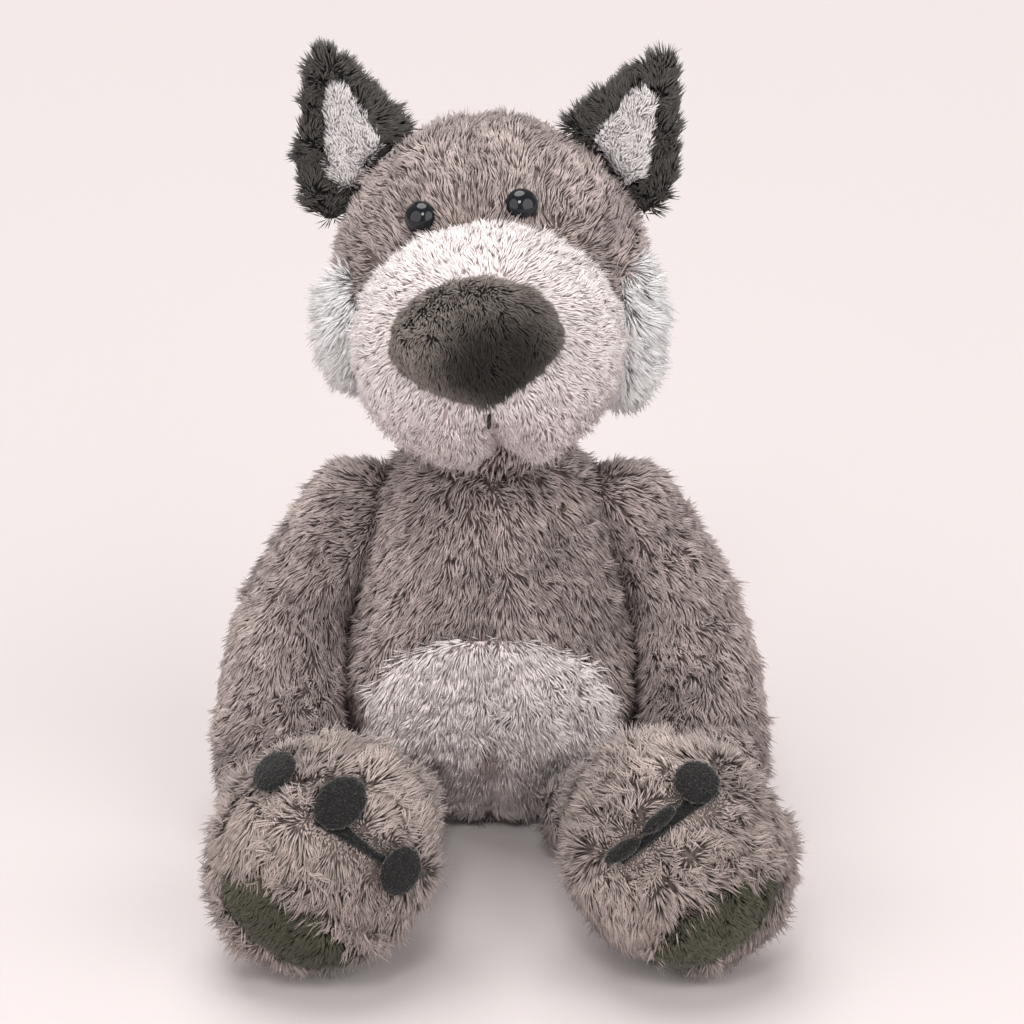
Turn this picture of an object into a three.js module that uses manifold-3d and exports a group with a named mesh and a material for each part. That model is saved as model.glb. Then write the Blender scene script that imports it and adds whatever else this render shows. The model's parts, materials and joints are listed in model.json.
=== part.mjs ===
// A floppy plush dog of the wolf kind, sitting, in millimetres with +Z up. It faces -Y, so its own
// left side is +X. Every plush skin is a shell with an opening, filled with its own fibre.
import * as THREE from 'three';
import { mergeVertices } from 'three/addons/utils/BufferGeometryUtils.js';
import Module from 'manifold-3d';

const wasm = await Module();
wasm.setup();

// ---------------------------------------------------------------- driving dimensions

const cloth = {
  wall: 2.4, // plush backing with its pile pressed flat
  seamGap: 0.4, // room between two pieces sewn edge to edge
  fillGap: 0.5, // room between a skin and its filling, past the flats of its facets
  jointGap: 1.2, // room between two pieces that turn against each other
};

const torso = {
  height: 150,
  depthShare: 0.86, // depth over width
  footprintRadius: 36, // the flat that it sits on
  bellyRadius: 60,
  bellyHeight: 44,
  chestRadius: 47,
  chestDrop: 42, // below the top
  shoulderRadius: 38,
  shoulderDrop: 11,
  neckHoleRadius: 18.5,
};

const patch = { width: 92, height: 84, lowest: 4 };

const pelletBag = { width: 84, depth: 70, height: 24 };

const neckRoll = { radius: 13, length: 18, headGap: 2.4, nodRoom: 5 };

const head = { width: 119, depth: 106, height: 126, neckHoleRadius: 17 };

// The face is sewn on slightly askew: roll about the line of sight, yaw about the upright.
const face = { roll: degrees(-8), yaw: degrees(-2.5) };

const muzzle = { width: 98, depth: 84, height: 90, forward: 50, drop: 10 };

const nose = { width: 59, depth: 30, height: 48, forward: 86, rise: 4, point: 0.3 };

const mouthStitch = { width: 2.2, length: 7, drop: 27 };

const eye = { radius: 6, dome: 4.6, shankRadius: 2, shank: 11, spacing: 0.33, rise: 0.67 };

const washer = { radius: 7.5, thickness: 1.6, playRadius: 0.3, skinRoom: 2 };

const ear = {
  width: 50,
  height: 74,
  thickness: 7,
  cup: 9,
  sink: 18, // how far its base would reach into the head
  foldGap: 2.5, // room between the ear and the head, for the ear to fold
  liningShare: 0.62,
  liningRise: 0.55, // share of the ear that the lining leaves free, which is below it
  liningThickness: 3,
  seatForward: 0.1, // share of the head's depth by which the ears sit forward
};

const earSeats = [
  { side: 'left', across: 0.74, rise: 0.7, lean: degrees(26), height: 0.92 },
  { side: 'right', across: -0.8, rise: 0.66, lean: degrees(-18), height: 0.98 },
];

const cheek = { width: 30, depth: 42, height: 66, sink: 10.5, forward: 15, drop: 13 };

const shoulder = { drop: 23, radius: 13, sideRoom: 0.6 };

const arm = {
  upperRadius: 15.5,
  elbowRadius: 18,
  wristRadius: 20,
  handRadius: 20,
  sideRoom: 6, // between the belly and the hand
  reach: 34, // of the hand, forward of the shoulder
};

const hip = { across: 37, bellyRoom: 10.4, height: 21, radius: 15 };

const leg = { shinRadius: 14, ankleRadius: 14.5 };

const foot = {
  width: 82,
  depth: 68,
  length: 92,
  across: 63,
  shift: 4, // both feet lie a little towards the toy's left
  legReach: 79, // forward of the hip
  toeIn: degrees(38),
  tilt: degrees(15), // the soles lean back
  ankleHoleRadius: 8,
};

const pad = { length: 56, width: 27, across: 4, heelward: 27 };

const claw = { width: 17, length: 22, thickness: 3 };

// Felt claws along the toe seam: across the foot, towards the toes, and the size of each.
const openClaws = [
  { name: 'outer', across: -33, toeward: 16, width: claw.width, length: claw.length * 0.8 },
  { name: 'middle', across: -9, toeward: 24, width: claw.width, length: claw.length },
  { name: 'inner', across: 23, toeward: 17, width: claw.width, length: claw.length * 0.85 },
];
const foldedClaws = [
  { name: 'outer', across: -23, toeward: 21, width: claw.width, length: claw.length * 0.75 },
  { name: 'middle', across: -5, toeward: 20, width: 15, length: 4 },
  { name: 'inner', across: 12, toeward: 19, width: 16, length: 5 },
];

const tail = {
  rootRadius: 9,
  middleRadius: 14,
  tipRadius: 7,
  bellyRoom: 10.4,
  height: 20,
  length: 62,
  curl: 30, // how far it bends to the toy's left
  tipRoom: 3, // between its tip and the surface
};

// ---------------------------------------------------------------- colours

const colour = {
  taupe: 0x8b7e7c,
  pale: 0xd9cccb,
  footTaupe: 0x9f928e,
  charcoal: 0x3a3836,
  earGrey: 0xb4aaaa,
  white: 0xe6e2e1,
  belly: 0xb0a5a1,
  olive: 0x4d4d3f,
  felt: 0x35322f,
  black: 0x0d0e10,
  fibre: 0xf0eeea,
  plastic: 0xdedbd2,
};

// ---------------------------------------------------------------- helpers

function degrees(value) {
  return (value * Math.PI) / 180;
}

function shaped(geometry, change) {
  const position = geometry.attributes.position;
  const point = new THREE.Vector3();
  for (let i = 0; i < position.count; i += 1) {
    point.fromBufferAttribute(position, i);
    change(point);
    position.setXYZ(i, point.x, point.y, point.z);
  }
  return geometry;
}

// Steps around and from pole to pole: skins are finer than what they hold.
const SKIN = [20, 12];
const FILL = [12, 8];
const TRIM = [10, 6];

function ball(width, depth, height, detail = SKIN) {
  const geometry = new THREE.SphereGeometry(0.5, ...detail);
  geometry.rotateX(Math.PI / 2);
  return geometry.scale(width, depth, height);
}

// A rod along Z, centred on the origin.
function rod(radius, length, segments = 14) {
  return new THREE.CylinderGeometry(radius, radius, length, segments).rotateX(Math.PI / 2);
}

function solidOf(geometry) {
  const bare = geometry.clone();
  bare.deleteAttribute('normal');
  bare.deleteAttribute('uv');
  const merged = mergeVertices(bare, 1e-4);
  const corners = merged.index.array;
  const kept = [];
  for (let i = 0; i < corners.length; i += 3) {
    const [a, b, c] = corners.slice(i, i + 3);
    if (a !== b && b !== c && a !== c) {
      kept.push(a, b, c);
    }
  }
  const vertProperties = new Float32Array(merged.attributes.position.array);
  const triVerts = new Uint32Array(kept);
  return new wasm.Manifold(new wasm.Mesh({ numProp: 3, vertProperties, triVerts }));
}

function placed(geometry, matrix) {
  return solidOf(geometry.clone().applyMatrix4(matrix));
}

function moved(geometry, x, y, z) {
  return placed(geometry, new THREE.Matrix4().makeTranslation(x, y, z));
}

function geometryOf(solid) {
  const mesh = solid.getMesh();
  const geometry = new THREE.BufferGeometry();
  geometry.setAttribute('position', new THREE.BufferAttribute(mesh.vertProperties, 3));
  geometry.setIndex(new THREE.BufferAttribute(mesh.triVerts, 1));
  geometry.computeVertexNormals();
  return geometry;
}

function plush(name, solid, color) {
  const material = new THREE.MeshStandardMaterial({ color, roughness: 0.95, metalness: 0 });
  const mesh = new THREE.Mesh(geometryOf(solid), material);
  mesh.name = name;
  return mesh;
}

function moulding(name, solid, color) {
  const mesh = plush(name, solid, color);
  mesh.material.roughness = 0.12;
  return mesh;
}

// A frame at a point whose +Z runs along a direction and whose X stays as level as it can.
function frameAlong(point, direction, upright = new THREE.Vector3(0, 0, 1)) {
  const z = direction.clone().normalize();
  const x = new THREE.Vector3().crossVectors(upright, z).normalize();
  const y = new THREE.Vector3().crossVectors(z, x);
  return new THREE.Matrix4().makeBasis(x, y, z).setPosition(point);
}

// ---------------------------------------------------------------- lathed skins and limbs

// A profile of radius over height, turned about Z.
function lathe(profile, segments) {
  return new THREE.LatheGeometry(profile, segments).rotateX(Math.PI / 2);
}

// Moves an outline towards the inside of the skin by a distance, along its own normals.
function inset(outline, distance) {
  return outline.map((point, i) => {
    const before = outline[Math.max(i - 1, 0)];
    const after = outline[Math.min(i + 1, outline.length - 1)];
    const course = after.clone().sub(before).normalize();
    return new THREE.Vector2(point.x - course.y * distance, point.y + course.x * distance);
  });
}

const TORSO_STEPS = 13;
const TORSO_FACETS = 22;

function torsoOutline() {
  const side = new THREE.SplineCurve([
    new THREE.Vector2(torso.footprintRadius, 0),
    new THREE.Vector2(torso.bellyRadius, torso.bellyHeight),
    new THREE.Vector2(torso.chestRadius, torso.height - torso.chestDrop),
    new THREE.Vector2(torso.shoulderRadius, torso.height - torso.shoulderDrop),
    new THREE.Vector2(torso.neckHoleRadius, torso.height),
  ]);
  return side.getPoints(TORSO_STEPS);
}

// Half the torso's width at a height.
function torsoRadiusAt(height) {
  const outline = torsoOutline();
  const above = outline.findIndex((point) => point.y > height);
  const low = outline[above - 1];
  const high = outline[above];
  return THREE.MathUtils.mapLinear(height, low.y, high.y, low.x, high.x);
}

// How far past the belly, forwards or backwards, something at a distance from it lies.
function pastBelly(room) {
  return torso.bellyRadius * torso.depthShare + room;
}

// The inside of the torso, a distance in from its outer face, flat underneath.
function torsoInside(distance) {
  return inset(torsoOutline(), distance).map((point) => {
    return new THREE.Vector2(point.x, Math.max(point.y, distance));
  });
}

function torsoSkin() {
  const outer = torsoOutline();
  const inner = torsoInside(cloth.wall).reverse();
  const floor = new THREE.Vector2(0, cloth.wall);
  const profile = [new THREE.Vector2(0, 0), ...outer, ...inner, floor];
  return solidOf(lathe(profile, TORSO_FACETS).scale(1, torso.depthShare, 1));
}

function torsoCore(distance) {
  const inner = torsoInside(distance);
  const base = new THREE.Vector2(0, inner[0].y);
  const top = new THREE.Vector2(0, inner[inner.length - 1].y);
  return solidOf(lathe([base, ...inner, top], 16).scale(1, torso.depthShare, 1));
}

// An upright oval prism that reaches forward from its own back face.
function frontOval(width, height, reach) {
  const outline = new THREE.Shape().absellipse(0, 0, width / 2, height / 2, 0, Math.PI * 2);
  const options = { depth: reach, bevelEnabled: false, curveSegments: 10 };
  return new THREE.ExtrudeGeometry(outline, options).rotateX(Math.PI / 2);
}

const END_STEPS = 3;
const SPAN_STEPS = 5;
const LIMB_FACETS = 11;

// How far the flats of a facetted round lie inside it.
function facetSag(diameter, facets) {
  return (diameter / 2) * (1 - Math.cos(Math.PI / facets));
}

// The straight outline of a limb: round ends about its first and last point.
function limbOutline(length, radii, holeRadius) {
  const girth = (share) => {
    const station = share * (radii.length - 1);
    const index = Math.min(Math.floor(station), radii.length - 2);
    return THREE.MathUtils.lerp(radii[index], radii[index + 1], station - index);
  };
  const outline = [];
  const holeAngle = Math.asin(holeRadius / girth(0));
  for (let i = 0; i <= END_STEPS; i += 1) {
    const angle = THREE.MathUtils.lerp(holeAngle, Math.PI / 2, i / END_STEPS);
    outline.push(new THREE.Vector2(girth(0) * Math.sin(angle), -girth(0) * Math.cos(angle)));
  }
  for (let i = 1; i < SPAN_STEPS; i += 1) {
    outline.push(new THREE.Vector2(girth(i / SPAN_STEPS), (i / SPAN_STEPS) * length));
  }
  for (let i = 0; i < END_STEPS; i += 1) {
    const angle = (i / END_STEPS) * (Math.PI / 2);
    outline.push(new THREE.Vector2(girth(1) * Math.cos(angle), length + girth(1) * Math.sin(angle)));
  }
  outline.push(new THREE.Vector2(0, length + girth(1)));
  return outline;
}

// Turns a straight limb profile and lays it along a curve.
function limbAlong(curve, length, profile) {
  const level = new THREE.Vector3(0, 1, 0);
  return shaped(lathe(profile, LIMB_FACETS), (point) => {
    const share = THREE.MathUtils.clamp(point.z / length, 0, 1);
    const course = curve.getTangentAt(share);
    const side = new THREE.Vector3().crossVectors(level, course).normalize();
    const front = new THREE.Vector3().crossVectors(course, side);
    const centre = curve.getPointAt(share);
    centre.addScaledVector(course, point.z - share * length);
    centre.addScaledVector(side, point.x).addScaledVector(front, point.y);
    point.copy(centre);
  });
}

// A limb's skin, open at its root, and the fibre inside it.
function limbPair(points, radii, holeRadius) {
  const curve = new THREE.CatmullRomCurve3(points);
  const length = curve.getLength();
  const thinner = (depth) => radii.map((radius) => radius - depth);
  const outer = limbOutline(length, radii, holeRadius);
  const inner = limbOutline(length, thinner(cloth.wall), holeRadius);
  const sag = facetSag(2 * Math.max(...radii), LIMB_FACETS);
  const fill = limbOutline(length, thinner(cloth.wall + cloth.fillGap + sag), 0);
  const skin = limbAlong(curve, length, [...outer, ...inner.reverse(), outer[0].clone()]);
  return { skin: solidOf(skin), fill: solidOf(limbAlong(curve, length, fill)) };
}

// ---------------------------------------------------------------- torso

function makeTorso() {
  const group = new THREE.Group();
  const skin = torsoSkin();
  const centre = patch.lowest + patch.height / 2;
  const reach = torso.bellyRadius * 2;
  const opening = moved(frontOval(patch.width, patch.height, reach), 0, 0, centre);
  const panelWidth = patch.width - 2 * cloth.seamGap;
  const panelHeight = patch.height - 2 * cloth.seamGap;
  const panel = moved(frontOval(panelWidth, panelHeight, reach), 0, 0, centre);
  group.add(plush('torso_shell', skin.subtract(opening), colour.taupe));
  group.add(plush('belly_patch', skin.intersect(panel), colour.belly));

  const bagBase = cloth.wall + cloth.fillGap;
  const bag = ball(pelletBag.width, pelletBag.depth, pelletBag.height, FILL);
  group.add(plush('pellet_bag', moved(bag, 0, 0, bagBase + pelletBag.height / 2), colour.fibre));

  const fillBase = bagBase + pelletBag.height + cloth.fillGap;
  const under = new THREE.BoxGeometry(torso.height, torso.height, torso.height);
  const rollRoom = rod(neckRoll.radius + cloth.fillGap, neckRoll.length + 2 * cloth.fillGap);
  const sag = facetSag(2 * torso.bellyRadius, TORSO_FACETS);
  const fill = torsoCore(cloth.wall + cloth.fillGap + sag)
    .subtract(moved(under, 0, 0, fillBase - torso.height / 2))
    .subtract(moved(rollRoom, 0, 0, torso.height));
  group.add(plush('torso_stuffing', fill, colour.fibre));
  return group;
}

function makeNeck() {
  const group = new THREE.Group();
  group.position.z = torso.height;
  group.add(plush('neck_stuffing', solidOf(rod(neckRoll.radius, neckRoll.length)), colour.fibre));
  return group;
}

// ---------------------------------------------------------------- head

// The head's own frame has its origin at the middle of the head.
const faceAngles = new THREE.Euler(0, face.roll, face.yaw, 'ZYX');
const faceTurn = new THREE.Matrix4().makeRotationFromEuler(faceAngles);

function headForm(grow, detail) {
  return solidOf(ball(head.width + 2 * grow, head.depth + 2 * grow, head.height + 2 * grow, detail));
}

function muzzleForm(grow, detail) {
  const form = ball(muzzle.width + 2 * grow, muzzle.depth + 2 * grow, muzzle.height + 2 * grow, detail);
  form.translate(0, -muzzle.forward, -muzzle.drop);
  return placed(form, faceTurn);
}

// A rounded triangle, point down, seen from the front.
function noseForm(grow, detail = [14, 9]) {
  const form = ball(nose.width + 2 * grow, nose.depth + 2 * grow, nose.height + 2 * grow, detail);
  shaped(form, (point) => {
    const low = THREE.MathUtils.clamp(-point.z / nose.height, 0, 1);
    point.x *= 1 - nose.point * 2 * low * low;
  });
  form.translate(0, -nose.forward, nose.rise);
  return placed(form, faceTurn);
}

// Where a direction from the head's middle leaves the head, and the outward normal there.
function headSurface(direction) {
  const radii = new THREE.Vector3(head.width / 2, head.depth / 2, head.height / 2);
  const reach = 1 / direction.clone().divide(radii).length();
  const point = direction.clone().multiplyScalar(reach);
  const normal = point.clone().divide(radii).divide(radii).normalize();
  return { point, normal };
}

function eyeSeat(side) {
  const forward = -Math.sqrt(1 - eye.spacing ** 2 - eye.rise ** 2);
  const direction = new THREE.Vector3(side * eye.spacing, forward, eye.rise);
  const { point, normal } = headSurface(direction.applyMatrix4(faceTurn));
  return frameAlong(point.addScaledVector(normal, cloth.seamGap), normal);
}

// One moulding: a dome on a shank, the dome's flat back at zero.
function eyeForm() {
  const steps = 5;
  const profile = [new THREE.Vector2(0, -eye.shank), new THREE.Vector2(eye.shankRadius, -eye.shank)];
  profile.push(new THREE.Vector2(eye.shankRadius, 0));
  for (let i = 0; i < steps; i += 1) {
    const angle = (i / steps) * (Math.PI / 2);
    profile.push(new THREE.Vector2(eye.radius * Math.cos(angle), eye.dome * Math.sin(angle)));
  }
  profile.push(new THREE.Vector2(0, eye.dome));
  return lathe(profile, 14);
}

function washerForm() {
  const bore = eye.shankRadius + washer.playRadius;
  const half = washer.thickness / 2;
  const corners = [
    [bore, -half],
    [washer.radius, -half],
    [washer.radius, half],
    [bore, half],
    [bore, -half],
  ];
  return lathe(corners.map(([x, y]) => new THREE.Vector2(x, y)), 12);
}

// The washer's middle, measured inwards from the eye's flat back.
const washerDepth = cloth.seamGap + cloth.wall + washer.skinRoom + washer.thickness / 2;

function along(frame, distance) {
  return frame.clone().multiply(new THREE.Matrix4().makeTranslation(0, 0, distance));
}

function makeEyes(group) {
  for (const [name, side] of [['left', 1], ['right', -1]]) {
    const seat = eyeSeat(side);
    group.add(moulding(`eye_${name}`, placed(eyeForm(), seat), colour.black));
    const hold = along(seat, -washerDepth);
    group.add(moulding(`eye_washer_${name}`, placed(washerForm(), hold), colour.plastic));
  }
}

const EAR_BASE_WEIGHT = 0.5; // under 1, the blade is widest below its middle
const EAR_FULLNESS = 0.8; // under 1, its edges bulge

// An ear blade: round at its base, pointed at its tip, cupped towards the front. Blades of one ear
// share one cup, so a lining that starts higher up still lies along the back.
function earBlade({ width, height, thickness, base, forward, earHeight }) {
  const blade = ball(1, 1, 1, [12, 10]);
  return shaped(blade, (point) => {
    const reach = Math.max(Math.sqrt(Math.max(0.25 - point.z ** 2, 0)), 1e-6);
    const rise = point.z + 0.5;
    const breadth = Math.sin(Math.PI * rise ** EAR_BASE_WEIGHT) ** EAR_FULLNESS;
    const x = ((point.x / reach) * breadth * width) / 2;
    const z = base + rise * height;
    const inward = ear.cup * (1 - ((2 * x) / ear.width) ** 2) * (1 - z / earHeight);
    const half = (point.y / reach) * Math.sqrt(breadth) * (thickness / 2);
    point.set(x, half + inward - forward, z);
  });
}

function makeEar({ side, across, rise, lean, height }) {
  const forward = Math.sqrt(Math.max(1 - across ** 2 - rise ** 2, 0)) * ear.seatForward;
  const { point } = headSurface(new THREE.Vector3(across, forward, rise).normalize());
  const group = new THREE.Group();
  group.position.copy(point);
  const turn = new THREE.Matrix4().makeRotationFromEuler(new THREE.Euler(0, lean, 0));
  const sunk = turn.clone().multiply(new THREE.Matrix4().makeTranslation(0, 0, -ear.sink));
  const tall = ear.height * height;
  const trim = headForm(ear.foldGap).translate([-point.x, -point.y, -point.z]);
  const { width, thickness, liningShare, liningThickness } = ear;
  const whole = { width, height: tall, thickness, base: 0, forward: 0, earHeight: tall };
  const back = placed(earBlade(whole), sunk);
  const panel = {
    width: width * liningShare,
    height: tall * liningShare,
    thickness: liningThickness,
    base: tall * (1 - liningShare) * ear.liningRise,
    forward: (thickness + liningThickness) / 2 + cloth.seamGap,
    earHeight: tall,
  };
  group.add(plush(`ear_back_${side}`, back.subtract(trim), colour.charcoal));
  const lining = placed(earBlade(panel), sunk).subtract(trim);
  group.add(plush(`ear_lining_${side}`, lining, colour.earGrey));
  return group;
}

function makeCheek(name, side) {
  const tuft = ball(cheek.width, cheek.depth, cheek.height, [14, 10]);
  const across = head.width / 2 - cheek.sink;
  const solid = moved(tuft, side * across, -cheek.forward, -cheek.drop)
    .subtract(headForm(cloth.seamGap))
    .subtract(muzzleForm(cloth.seamGap));
  return plush(name, solid, colour.white);
}

// The length of a round cutter, long enough to go through a skin.
const HOLE_REACH = 30;

function makeHead() {
  const group = new THREE.Group();
  group.position.z = torso.height + neckRoll.headGap + head.height / 2;
  const floor = -head.height / 2;
  const inside = -cloth.wall;
  const sag = facetSag(Math.max(head.width, head.height), SKIN[0]);
  const fillDepth = -(cloth.wall + cloth.fillGap + sag);

  let skin = headForm(0).subtract(headForm(inside));
  skin = skin.subtract(moved(rod(head.neckHoleRadius, HOLE_REACH), 0, 0, floor));
  skin = skin.subtract(muzzleForm(inside));
  let fill = headForm(fillDepth, FILL);
  const rollTop = floor - neckRoll.headGap + neckRoll.length / 2;
  const nodRoom = rod(head.neckHoleRadius + cloth.fillGap, HOLE_REACH);
  fill = fill.subtract(moved(nodRoom, 0, 0, rollTop + neckRoll.nodRoom - HOLE_REACH / 2));
  for (const side of [1, -1]) {
    const seat = eyeSeat(side);
    skin = skin.subtract(placed(rod(eye.shankRadius + washer.playRadius, eye.shank), seat));
    const room = rod(washer.radius + cloth.fillGap, 2 * (eye.shank + cloth.fillGap));
    fill = fill.subtract(placed(room, seat));
  }
  group.add(plush('head_shell', skin, colour.taupe));
  group.add(plush('head_stuffing', fill, colour.fibre));

  const muzzleSkin = muzzleForm(0).subtract(muzzleForm(inside)).subtract(headForm(cloth.seamGap));
  const muzzleFill = muzzleForm(fillDepth, FILL).subtract(headForm(cloth.seamGap + cloth.fillGap));
  group.add(plush('muzzle_shell', muzzleSkin, colour.pale));
  group.add(plush('muzzle_stuffing', muzzleFill, colour.fibre));

  const noseSeat = muzzleForm(cloth.seamGap);
  const noseSkin = noseForm(0).subtract(noseForm(inside)).subtract(noseSeat);
  const noseFill = noseForm(fillDepth, TRIM).subtract(muzzleForm(cloth.seamGap + cloth.fillGap));
  group.add(plush('nose_cover', noseSkin, colour.charcoal));
  group.add(plush('nose_stuffing', noseFill, colour.fibre));

  const stitch = ball(mouthStitch.width, muzzle.depth / 2, mouthStitch.length, FILL);
  stitch.translate(0, -muzzle.forward - muzzle.depth / 4 - mouthStitch.width, -mouthStitch.drop);
  const tack = placed(stitch, faceTurn)
    .subtract(muzzleForm(cloth.seamGap))
    .intersect(muzzleForm(cloth.seamGap + mouthStitch.width));
  group.add(plush('mouth_stitch', tack, colour.felt));

  makeEyes(group);
  earSeats.forEach((seat) => group.add(makeEar(seat)));
  group.add(makeCheek('cheek_left', 1));
  group.add(makeCheek('cheek_right', -1));
  return group;
}

// ---------------------------------------------------------------- arms, legs and tail

const TURNING_HOLE = 5;

// The arm's middle line from shoulder to hand, as shares of its way out, forwards and down.
const ARM_COURSE = [
  [0, 0, 0],
  [0.333, 0.06, 0.16],
  [0.833, 0.26, 0.454],
  [1, 0.65, 0.718],
  [1, 1, 1],
];

function makeArm(name, side) {
  const group = new THREE.Group();
  const height = torso.height - shoulder.drop;
  const across = torsoRadiusAt(height) + shoulder.sideRoom + shoulder.radius;
  group.position.set(side * across, 0, height);
  const outward = torso.bellyRadius + arm.sideRoom + arm.handRadius - across;
  const fall = height - arm.handRadius - cloth.jointGap;
  const points = ARM_COURSE.map(([out, forward, down]) => {
    return new THREE.Vector3(side * out * outward, -forward * arm.reach, -down * fall);
  });
  const radii = [shoulder.radius, arm.upperRadius, arm.elbowRadius, arm.wristRadius, arm.handRadius];
  const { skin, fill } = limbPair(points, radii, TURNING_HOLE);
  group.add(plush(`arm_shell_${name}`, skin, colour.taupe));
  group.add(plush(`arm_stuffing_${name}`, fill, colour.fibre));
  return group;
}

const hipPoint = (side) => {
  return new THREE.Vector3(side * hip.across, -pastBelly(hip.bellyRoom), hip.height);
};
const footCentre = (side) => {
  const forward = pastBelly(hip.bellyRoom) + foot.legReach;
  return new THREE.Vector3(side * foot.across + foot.shift, -forward, foot.length / 2 + cloth.seamGap);
};

// The foot's frame: origin in its middle, sole towards -Y, toes towards +Z.
function footTurn(side) {
  const tilt = new THREE.Matrix4().makeRotationX(-foot.tilt);
  return tilt.multiply(new THREE.Matrix4().makeRotationY(-side * foot.toeIn));
}

function footForm(grow, detail) {
  return ball(foot.width + 2 * grow, foot.depth + 2 * grow, foot.length + 2 * grow, detail);
}

// The point on the back of the foot that faces the hip, from the foot's middle.
function anklePoint(side) {
  const toHip = hipPoint(side).sub(footCentre(side)).normalize();
  const local = toHip.clone().applyMatrix4(footTurn(side).invert());
  const radii = new THREE.Vector3(foot.width / 2, foot.depth / 2, foot.length / 2);
  return toHip.multiplyScalar(1 / local.divide(radii).length());
}

function makeLeg(name, side) {
  const group = new THREE.Group();
  group.position.copy(hipPoint(side));
  const ankle = footCentre(side).add(anklePoint(side)).sub(hipPoint(side));
  const reach = ankle.length() - leg.ankleRadius - cloth.jointGap;
  const points = [0, 0.5, 1].map((share) => ankle.clone().setLength(share * reach));
  points[0].set(0, 0, 0);
  const radii = [hip.radius, leg.shinRadius, leg.ankleRadius];
  const { skin, fill } = limbPair(points, radii, TURNING_HOLE);
  group.add(plush(`leg_shell_${name}`, skin, colour.taupe));
  group.add(plush(`leg_stuffing_${name}`, fill, colour.fibre));
  return group;
}

// Where a point of the sole, across and towards the toes, lies on the foot's front face.
function solePoint(across, toeward) {
  const radii = new THREE.Vector3(foot.width / 2, foot.depth / 2, foot.length / 2);
  const left = 1 - (across / radii.x) ** 2 - (toeward / radii.z) ** 2;
  const point = new THREE.Vector3(across, -radii.y * Math.sqrt(left), toeward);
  const normal = point.clone().divide(radii).divide(radii).normalize();
  return { point, normal };
}

function makeClaw({ name, across, toeward, width, length }, footName, side) {
  const { point, normal } = solePoint(-side * across, toeward);
  const lift = cloth.seamGap + claw.thickness / 2;
  const seat = frameAlong(point.addScaledVector(normal, lift), normal);
  const felt = placed(ball(width, length, claw.thickness, TRIM), seat);
  const solid = felt.subtract(solidOf(footForm(cloth.seamGap)));
  return plush(`claw_${name}_${footName}`, solid, colour.felt);
}

function makeFoot(name, side, claws) {
  const group = new THREE.Group();
  group.position.copy(footCentre(side)).add(anklePoint(side));
  const inner = new THREE.Group();
  inner.position.copy(anklePoint(side)).negate();
  inner.setRotationFromMatrix(footTurn(side));
  group.add(inner);

  const ankle = anklePoint(side).applyMatrix4(footTurn(side).invert());
  const hole = rod(foot.ankleHoleRadius, foot.depth / 2, 14);
  const skin = solidOf(footForm(0))
    .subtract(solidOf(footForm(-cloth.wall)))
    .subtract(placed(hole, frameAlong(ankle, ankle)));
  const panel = (gap) => {
    const oval = frontOval(pad.length - 2 * gap, pad.width - 2 * gap, foot.depth);
    return moved(oval, -side * pad.across, 0, -pad.heelward);
  };
  inner.add(plush(`foot_shell_${name}`, skin.subtract(panel(0)), colour.footTaupe));
  inner.add(plush(`sole_pad_${name}`, skin.intersect(panel(cloth.seamGap)), colour.olive));
  const sag = facetSag(Math.max(foot.width, foot.length), SKIN[0]);
  const fill = solidOf(footForm(-cloth.wall - cloth.fillGap - sag, FILL));
  inner.add(plush(`foot_stuffing_${name}`, fill, colour.fibre));
  claws.forEach((each) => inner.add(makeClaw(each, name, side)));
  return group;
}

function makeTail() {
  const group = new THREE.Group();
  group.position.set(0, pastBelly(tail.bellyRoom), tail.height);
  const tip = tail.height - tail.tipRadius - tail.tipRoom;
  const points = [
    new THREE.Vector3(0, 0, 0),
    new THREE.Vector3(4, 26, -3),
    new THREE.Vector3(14, 48, -4),
    new THREE.Vector3(tail.curl, tail.length, -tip),
  ];
  const radii = [tail.rootRadius, tail.middleRadius, tail.middleRadius, tail.tipRadius];
  const { skin, fill } = limbPair(points, radii, TURNING_HOLE / 2);
  group.add(plush('tail_shell', skin, colour.taupe));
  group.add(plush('tail_stuffing', fill, colour.fibre));
  return group;
}

// ---------------------------------------------------------------- the whole toy

const dog = new THREE.Group();
dog.add(makeTorso(), makeNeck(), makeHead());
dog.add(makeArm('left', 1), makeArm('right', -1));
dog.add(makeLeg('left', 1), makeLeg('right', -1));
dog.add(makeFoot('left', 1, foldedClaws), makeFoot('right', -1, openClaws));
dog.add(makeTail());

// The origin is the middle of the toy's footprint, on the surface that it sits on.
dog.updateMatrixWorld(true);
const extent = new THREE.Box3().setFromObject(dog, true);
const middle = extent.getCenter(new THREE.Vector3());
dog.position.set(-middle.x, -middle.y, -extent.min.z);

export default dog;
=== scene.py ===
"""A floppy plush dog of the wolf kind, sitting: furred skins, felt claws and moulded eyes.

Most skins are stuffed forms puffed up by their filling, and every skin is then covered with a coat of tufts.
"""

import json
import logging
import math
from dataclasses import dataclass
from enum import Enum
from typing import Callable, Iterable, Sequence

import bmesh
import bpy
import numpy as np
from mathutils import Matrix, Vector
from mathutils.bvhtree import BVHTree


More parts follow.
